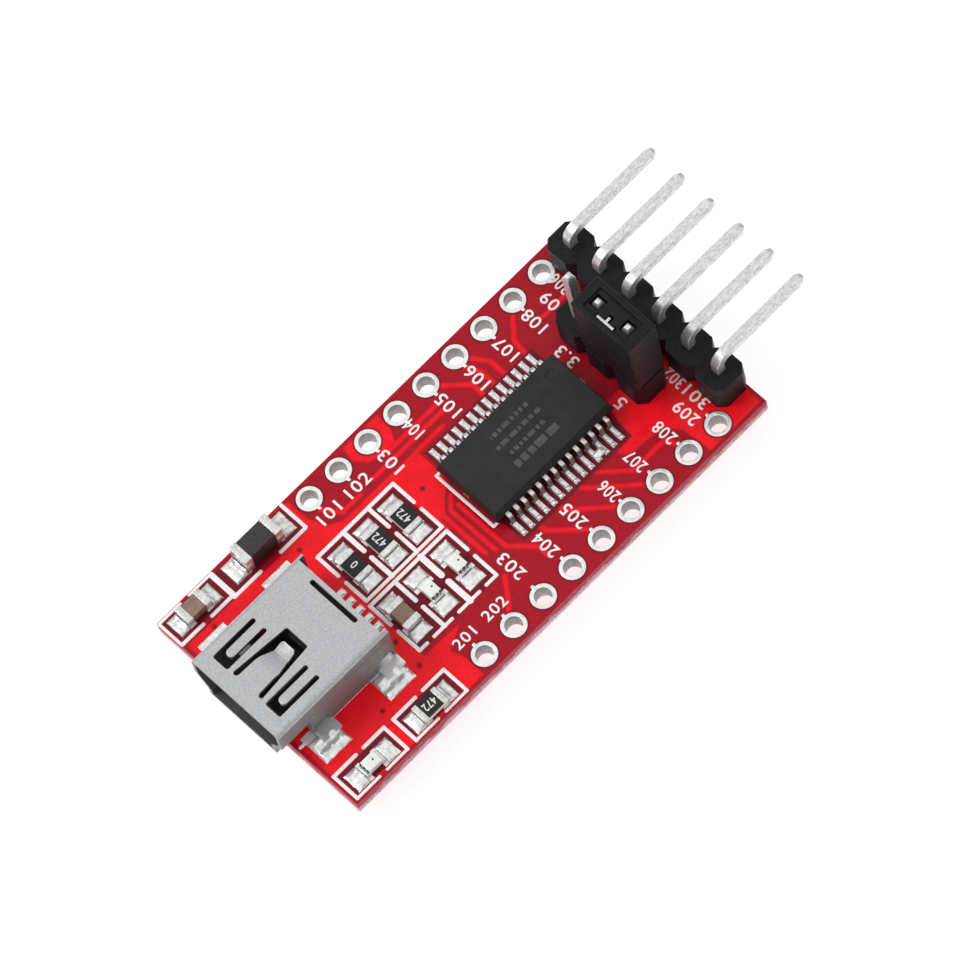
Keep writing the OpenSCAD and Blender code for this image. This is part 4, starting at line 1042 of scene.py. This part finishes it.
class ADAPTER_OT_solder(bpy.types.Operator):
    """Lands and the solder on them"""

    bl_idname = "adapter.solder"
    bl_label = "Lands and solder"
    bl_options = {"REGISTER", "UNDO"}

    CLIMBS = [("resistor_ends", 0.42), ("small_capacitor_ends", 0.5), ("large_capacitor_ends", 0.75),
              ("lamp_ends", 0.3)]            # how high solder climbs each kind of end cap
    CAP_OVERLAP = 0.02                       # how far the solder starts inside an end cap's wall
    FOOT_OVERLAP = 0.75                      # how far it starts inside the socket's wall
    FOOT_SETBACK = 0.3                       # where on a foot it starts to fall away
    FOOT_LAND_LEAST = 1.5                    # a longer land than this is under a foot, not under a tail
    FAR_FOOT, NEAR_FOOT = (0.05, 0.015), (0.16, 0.09)    # climb and thickness on each side of the socket
    TOE_IN, TOE_LEVEL = 0.06, 0.05           # drops at the chip leads' toes
    TOE_STRETCH, TOE_H = 1.7, 0.16
    TAIL_IN, TAIL_LEVEL = 0.14, 0.02         # drops at the socket's contact tails
    TAIL_L, TAIL_H = 0.34, 0.22
    BRIDGE_IN, BRIDGE_LEVEL = 0.25, 0.08     # the drop that two leads share
    BRIDGE_SIZE = (0.62, 0.3)
    FOOT_SEED = 40                           # so that feet don't repeat the components' ripples
    BRIDGED_LEAD = 10                        # the first of the two leads that share a drop

    def execute(self, context):
        dress("component_lands", FINISHES["tinned_copper"])
        dress("chip_lands", FINISHES["tinned_copper"])
        dress("socket_lands", FINISHES["tinned_copper"])
        ends = [(low, high, rise) for node, rise in self.CLIMBS for low, high in solids_mm(node)]
        bm = bmesh.new()
        for seed, (low, high) in enumerate(solids_mm("component_lands")):
            self.patch(bm, low, high, ends, seed)
        piece("component_solder_fillets", bm, FINISHES["solder"], "component_solder", ["component_solder"],
              smooth_angle=70)
        self.chip_solder()
        self.socket_solder()
        soft_node("header_solder", "strip_solder_cones", FINISHES["solder"], 0.04, angle=50)
        return {"FINISHED"}

    def patch(self, bm, low, high, ends, seed):
        """Solder from a component's end cap out over the land that it stands on."""
        middle = (low + high) / 2
        cap_low, cap_high, rise = min(ends, key=lambda e: ((e[0] + e[1]) / 2 - middle).to_2d().length)
        cap_size = cap_high - cap_low
        axis = 0 if cap_size.x < cap_size.y else 1
        sign = math.copysign(1, middle[axis] - ((cap_low + cap_high) / 2)[axis])
        wall = cap_high[axis] if sign > 0 else cap_low[axis]
        start, end = low.copy(), high.copy()
        if sign > 0:
            start[axis] = wall - self.CAP_OVERLAP
        else:
            end[axis] = wall + self.CAP_OVERLAP
        start.z = high.z
        solder_patch(bm, start, end, wall, axis, sign, rise, seed)

    def chip_solder(self):
        """A drop at each lead's toe, and one bridge between two leads."""
        rng = random.Random(5)
        toes = solids_mm("chip_solder")
        bm = bmesh.new()
        for low, high in toes:
            middle = (low + high) / 2
            size = high - low
            outward = math.copysign(1, middle.y - BOARD_CENTRE.y)
            add_blob(bm, (middle.x, middle.y - outward * self.TOE_IN, low.z + self.TOE_LEVEL),
                     (size.x * rng.uniform(0.95, 1.1), size.y * self.TOE_STRETCH,
                      self.TOE_H * rng.uniform(0.8, 1.2)), 1.4)
        below = sorted((t for t in toes if t[0].y < 0), key=lambda t: t[0].x)
        left, right = below[self.BRIDGED_LEAD:self.BRIDGED_LEAD + 2]
        middle = (left[0] + right[1]) / 2
        add_blob(bm, (middle.x, middle.y + self.BRIDGE_IN, left[0].z + self.BRIDGE_LEVEL),
                 (right[1].x - left[0].x + 0.05, *self.BRIDGE_SIZE), 1.25)
        piece("lead_solder", bm, FINISHES["solder"], "chip_solder", ["chip_solder"], smooth_angle=70)

    def socket_solder(self):
        """Solder on the shell's four lands and at the contact tails."""
        shell_low, shell_high = box_mm("socket_shell")
        bm = bmesh.new()
        for seed, (low, high) in enumerate(solids_mm("socket_lands")):
            middle = (low + high) / 2
            if high.x - low.x > self.FOOT_LAND_LEAST:
                sign = math.copysign(1, middle.y - BOARD_CENTRE.y)
                wall = shell_high.y if sign > 0 else shell_low.y
                start, end = low.copy(), high.copy()
                start.z = high.z
                if sign > 0:
                    start.y = wall - self.FOOT_OVERLAP
                else:
                    end.y = wall + self.FOOT_OVERLAP
                climb, spill = self.FAR_FOOT if sign > 0 else self.NEAR_FOOT
                solder_patch(bm, start, end, wall - sign * self.FOOT_SETBACK, 1, sign, climb,
                             self.FOOT_SEED + seed, spill)
            else:
                add_blob(bm, (high.x - self.TAIL_IN, middle.y, high.z + self.TAIL_LEVEL),
                         (self.TAIL_L, high.y - low.y, self.TAIL_H), 1.3)
        piece("socket_solder_fillets", bm, FINISHES["solder"], "socket_solder", ["socket_solder"],
              smooth_angle=70)


class ADAPTER_OT_interface_chip(bpy.types.Operator):
    """The 28-lead interface chip"""

    bl_idname = "adapter.interface_chip"
    bl_label = "Interface chip"
    bl_options = {"REGISTER", "UNDO"}

    # height and length of each row of dashes, and how much longer than the usual its dashes are
    MARK_ROWS = [(0.5, 3.6, 1.5), (0.3, 2.9, 1), (0.3, 3.7, 1), (0.3, 3.2, 1)]
    MARK_PITCH = 0.8
    MARK_START = -1.15                       # middle of the first row from the chip's middle
    DASHES = [0.22, 0.3, 0.42, 0.55]
    DASH_GAPS = [0.14, 0.18]
    MARK_RISE, MARK_SUNK = 0.004, 0.01

    def execute(self, context):
        soft_node("chip_body", "chip_moulding", FINISHES["chip_epoxy"], 0.06, 3)
        leads = soft_node("chip_leads", "chip_lead_frame", FINISHES["lead_tin"], 0.025, 2, angle=50)
        # painted shade and painted dark reflection: the leads' steep faces get a darker tin
        paint_shade_on_upright_faces(leads, FINISHES["painted_shade_slope_tin"], 0.75)
        dress("chip_paddle", FINISHES["bare_copper"])
        dress("chip_die", FINISHES["silicon"])
        self.marking()
        return {"FINISHED"}

    def marking(self):
        """Faint dashes in rows on the chip's top."""
        low, high = box_mm("chip_body")
        rng = random.Random(11)
        bm = bmesh.new()
        for row, (height, length, stretch) in enumerate(self.MARK_ROWS):
            y = (low.y + high.y) / 2 + self.MARK_START + row * self.MARK_PITCH
            x = (low.x + high.x) / 2 + length / 2
            end = x - length
            while x > end:
                dash = rng.choice(self.DASHES) * stretch
                add_box(bm, (max(x - dash, end), y - height / 2, high.z - self.MARK_SUNK),
                        (x, y + height / 2, high.z + self.MARK_RISE))
                x -= dash + rng.choice(self.DASH_GAPS)
        piece("chip_marking", bm, FINISHES["chip_mark"], "chip_body")


class ADAPTER_OT_resistors(bpy.types.Operator):
    """Four chip resistors with number codes"""

    bl_idname = "adapter.resistors"
    bl_label = "Resistors"
    bl_options = {"REGISTER", "UNDO"}

    CODES = ["472", "0", "472", "472"]       # from the socket's end of the board
    TURNS = [180, 90, 90, 90]                # degrees
    DIGIT_PITCH = 0.3
    CODE_HEIGHT = 0.56
    CODE_THICKNESS = 0.012
    CODE_SUNK = 0.004                        # how deep a code starts in the glass

    def execute(self, context):
        soft_node("resistor_cores", "resistor_ceramics", FINISHES["white_ceramic"], 0.02)
        dress("resistor_films", FINISHES["resistor_coat"])
        soft_node("resistor_coats", "resistor_glass", FINISHES["resistor_coat"], 0.02)
        soft_node("resistor_ends", "resistor_end_caps", FINISHES["lead_tin"], 0.045, 3, angle=60)
        bm = bmesh.new()
        for (low, high), code, turn in zip(solids_mm("resistor_coats"), self.CODES, self.TURNS):
            middle = (low + high) / 2
            place = (middle.x, middle.y, high.z - self.CODE_SUNK)
            add_lettering(bm, code, (self.DIGIT_PITCH * len(code), self.CODE_HEIGHT), place, turn,
                          self.CODE_THICKNESS)
        piece("resistor_codes", bm, FINISHES["code_ink"], "resistor_coats")
        return {"FINISHED"}


class ADAPTER_OT_capacitors(bpy.types.Operator):
    """Three ceramic capacitors"""

    bl_idname = "adapter.capacitors"
    bl_label = "Capacitors"
    bl_options = {"REGISTER", "UNDO"}

    def execute(self, context):
        soft_node("small_capacitor_bodies", "small_capacitor_ceramics", FINISHES["tan_ceramic"], 0.07, 3)
        soft_node("small_capacitor_ends", "small_capacitor_caps", FINISHES["lead_tin"], 0.08, 3, angle=60)
        soft_node("large_capacitor_body", "large_capacitor_ceramic", FINISHES["brown_ceramic"], 0.09, 3)
        soft_node("large_capacitor_ends", "large_capacitor_caps", FINISHES["lead_tin"], 0.1, 3, angle=60)
        return {"FINISHED"}


class ADAPTER_OT_lamps(bpy.types.Operator):
    """Three indicator lamps"""

    bl_idname = "adapter.lamps"
    bl_label = "Lamps"
    bl_options = {"REGISTER", "UNDO"}

    DOT_SIZE = (0.15, 0.15, 0.02)            # dark dot on the resin's top
    DOT_OFFSET = 0.16
    MARK_SIZE = (0.2, 0.2, 0.24)             # green marks at one end of the resin
    MARK_STEPS = (-0.3, 0.02, 0.32)
    MARK_OUT, MARK_DOWN = 0.02, 0.12

    def execute(self, context):
        soft_node("lamp_bases", "lamp_boards", FINISHES["lamp_base"], 0.02)
        soft_node("lamp_ends", "lamp_terminals", FINISHES["lead_tin"], 0.03, angle=60)
        soft_node("lamp_lenses", "lamp_resin_blocks", FINISHES["lamp_resin"], 0.06, 3)
        dress("lamp_dies", FINISHES["silicon"])
        bm = bmesh.new()
        for low, high in solids_mm("lamp_lenses"):
            middle = (low + high) / 2
            add_blob(bm, (middle.x + self.DOT_OFFSET, middle.y, high.z), self.DOT_SIZE)
            lengthways = high.x - low.x > high.y - low.y
            level = high.z - self.MARK_DOWN
            for step in self.MARK_STEPS:
                spot = ((low.x - self.MARK_OUT, middle.y + step, level) if lengthways
                        else (middle.x + step, low.y - self.MARK_OUT, level))
                add_blob(bm, spot, self.MARK_SIZE)
        piece("lamp_marks", bm, FINISHES["lamp_mark"], "lamp_bases")
        return {"FINISHED"}


class ADAPTER_OT_usb_socket(bpy.types.Operator):
    """Mini USB socket"""

    bl_idname = "adapter.usb_socket"
    bl_label = "USB socket"
    bl_options = {"REGISTER", "UNDO"}

    INNER_HALF, OUTER_HALF = 3.52, 3.86      # from the socket's middle to its walls, inside and outside
    FLOOR_LEVEL = 0.36                       # the shell's floor ends below this height
    TONGUE_STEPS = (2.6, 4.0, 4.8)           # where the middle tongue starts to fall, turns up, and ends
    TONGUE_FALL, TONGUE_RISE = 0.3, 0.45     # slopes
    TONGUE_HALF = 0.91
    ROOF_DEPTH = 0.45

    def execute(self, context):
        settings = context.scene.adapter_board
        self.low, self.high = box_mm("socket_shell")
        radius = settings.edge_radius / MM
        shell = soft_node("socket_shell", "socket_steel_shell", FINISHES["shell_steel"], radius, 2, angle=50,
                          shape=self.bend_tongue)
        self.shade_sides_and_tin_feet(shell)
        soft_node("socket_insulator", "socket_moulding", FINISHES["insulator_plastic"], 0.03)
        soft_node("socket_contacts", "socket_spring_contacts", FINISHES["lead_tin"], 0.02, angle=50)
        return {"FINISHED"}

    def shade_sides_and_tin_feet(self, shell):
        """Gives the shell's sides a darker steel than its roof and its inside the darkest, as painted shade,
        and tins its feet.
        """
        shell.data.materials.append(FINISHES["painted_shade_inside_steel"])
        shell.data.materials.append(FINISHES["painted_shade_side_steel"])
        shell.data.materials.append(FINISHES["tinned_copper"])
        inside, side, foot = 1, 2, 3
        middle = (self.low + self.high) / 2
        for polygon in shell.data.polygons:
            place, normal = polygon.center / MM, polygon.normal
            away = abs(place.y - middle.y)
            inwards = normal.y * (middle.y - place.y) + normal.z * (middle.z - place.z)
            # painted shade: the faces inside the shell get the darkest steel
            if away < self.INNER_HALF and inwards > 0.1 and place.z > TOP + self.FLOOR_LEVEL:
                polygon.material_index = inside
            elif away > self.OUTER_HALF:
                polygon.material_index = foot
            # painted shade: the upright sides get a darker steel
            elif abs(normal.z) < 0.3:
                polygon.material_index = side

    def bend_tongue(self, bm):
        """Bends the middle tongue down into the socket, and its tip up again."""
        start, dip, tip = (self.low.x + step for step in self.TONGUE_STEPS)
        roof = self.high.z - self.ROOF_DEPTH
        middle_y = (self.low.y + self.high.y) / 2
        for x in (start, (start + dip) / 2, dip):
            bmesh.ops.bisect_plane(bm, geom=bm.verts[:] + bm.edges[:] + bm.faces[:], plane_co=(x, 0, 0),
                                   plane_no=(1, 0, 0), dist=0.0001)
        for vert in bm.verts:
            x, y, z = vert.co
            if start < x < tip and abs(y - middle_y) < self.TONGUE_HALF and z > roof:
                vert.co.z -= (min(x, dip) - start) * self.TONGUE_FALL
                vert.co.z += max(x - dip, 0) * self.TONGUE_RISE


class ADAPTER_OT_pin_strips(bpy.types.Operator):
    """Angled and upright pin strips"""

    bl_idname = "adapter.pin_strips"
    bl_label = "Pin strips"
    bl_options = {"REGISTER", "UNDO"}

    def execute(self, context):
        for node, name in [("angled_strip", "angled_strip_plastic"),
                           ("upright_strip", "upright_strip_plastic")]:
            soft_node(node, name, FINISHES["strip_plastic"], 0.09, 3, angle=30)
        for node, name in [("angled_pins_set", "angled_pins"), ("upright_pins_set", "upright_pins")]:
            soft_node(node, name, FINISHES["pin_metal"], 0.03, 1, angle=25)
        return {"FINISHED"}


class ADAPTER_OT_jumper(bpy.types.Operator):
    """Jumper cap and its clip"""

    bl_idname = "adapter.jumper"
    bl_label = "Jumper"
    bl_options = {"REGISTER", "UNDO"}

    LIP, PLATE_DEPTH, PLATE_T = 0.3, 0.22, 0.3   # rim round the sunk plate, and how deep and thick it is
    PIN_ROOM, TAB_ROOM = 0.42, 0.1               # half an opening round a pin; gap round the clip's tab
    TAB_HALF, TAB_T = 0.7, 0.2
    STUB_HALF, STUB_L = 0.1, 0.6
    CUT_DEPTH = 2.0

    def execute(self, context):
        soft_node("jumper_cap", "jumper_moulding", FINISHES["strip_plastic"], 0.16, 4)
        soft_node("jumper_clip", "jumper_spring", FINISHES["clip_metal"], 0.02)
        self.window_plate()
        return {"FINISHED"}

    def window_plate(self):
        """The cap's top round its two pins and the clip's tab."""
        low, high = box_mm("jumper_cap")
        middle = (low + high) / 2
        plate = bmesh.new()
        add_box(plate, (low.x + self.LIP, low.y + self.LIP, high.z - self.PLATE_DEPTH - self.PLATE_T),
                (high.x - self.LIP, high.y - self.LIP, high.z - self.PLATE_DEPTH))
        holes = bmesh.new()
        bottom = high.z - self.CUT_DEPTH
        for pin_low, pin_high in solids_mm("upright_pins_set"):
            pin = (pin_low + pin_high) / 2
            if low.y < pin.y < high.y:
                add_box(holes, (pin.x - self.PIN_ROOM, pin.y - self.PIN_ROOM, bottom),
                        (pin.x + self.PIN_ROOM, pin.y + self.PIN_ROOM, high.z))
        back = box_mm("jumper_clip")[0].x
        for half, reach, top in [(self.TAB_HALF, self.TAB_T, high.z),
                                 (self.STUB_HALF, self.STUB_L, high.z + 0.1)]:
            room = half + self.TAB_ROOM
            add_box(holes, (back - 0.5, middle.y - room, bottom),
                    (back + reach + self.TAB_ROOM, middle.y + room, top))
        piece("jumper_window", carved(plate, holes), FINISHES["strip_plastic"], "jumper_cap")


PIECES = [ADAPTER_OT_laminate, ADAPTER_OT_lacquer, ADAPTER_OT_print, ADAPTER_OT_plating, ADAPTER_OT_solder,
          ADAPTER_OT_interface_chip, ADAPTER_OT_resistors, ADAPTER_OT_capacitors, ADAPTER_OT_lamps,
          ADAPTER_OT_usb_socket, ADAPTER_OT_pin_strips, ADAPTER_OT_jumper]


class ADAPTER_PT_board(bpy.types.Panel):
    """Lists the board's settings and the operators that make its pieces"""

    bl_label = "Adapter board"
    bl_idname = "ADAPTER_PT_board"
    bl_space_type = "VIEW_3D"
    bl_region_type = "UI"
    bl_category = "Adapter board"

    def draw(self, context):
        settings = context.scene.adapter_board
        for name in AdapterBoardSettings.__annotations__:
            self.layout.prop(settings, name)
        for operator in [ADAPTER_OT_stage] + PIECES:
            self.layout.operator(operator.bl_idname)


CLASSES = [AdapterBoardSettings, ADAPTER_OT_stage] + PIECES + [ADAPTER_PT_board]


def register():
    for cls in CLASSES:
        bpy.utils.register_class(cls)
    bpy.types.Scene.adapter_board = bpy.props.PointerProperty(type=AdapterBoardSettings)


def unregister():
    del bpy.types.Scene.adapter_board
    for cls in reversed(CLASSES):
        bpy.utils.unregister_class(cls)


def main():
    register()
    settings = bpy.context.scene.adapter_board
    FINISHES.update(metal_finishes(settings))
    FINISHES.update(plastic_finishes(settings))
    bpy.ops.adapter.stage()
    bpy.ops.adapter.laminate()
    bpy.ops.adapter.lacquer()
    bpy.ops.adapter.print()
    bpy.ops.adapter.plating()
    bpy.ops.adapter.solder()
    bpy.ops.adapter.interface_chip()
    bpy.ops.adapter.resistors()
    bpy.ops.adapter.capacitors()
    bpy.ops.adapter.lamps()
    bpy.ops.adapter.usb_socket()
    bpy.ops.adapter.pin_strips()
    bpy.ops.adapter.jumper()


if __name__ == "__main__":
    main()
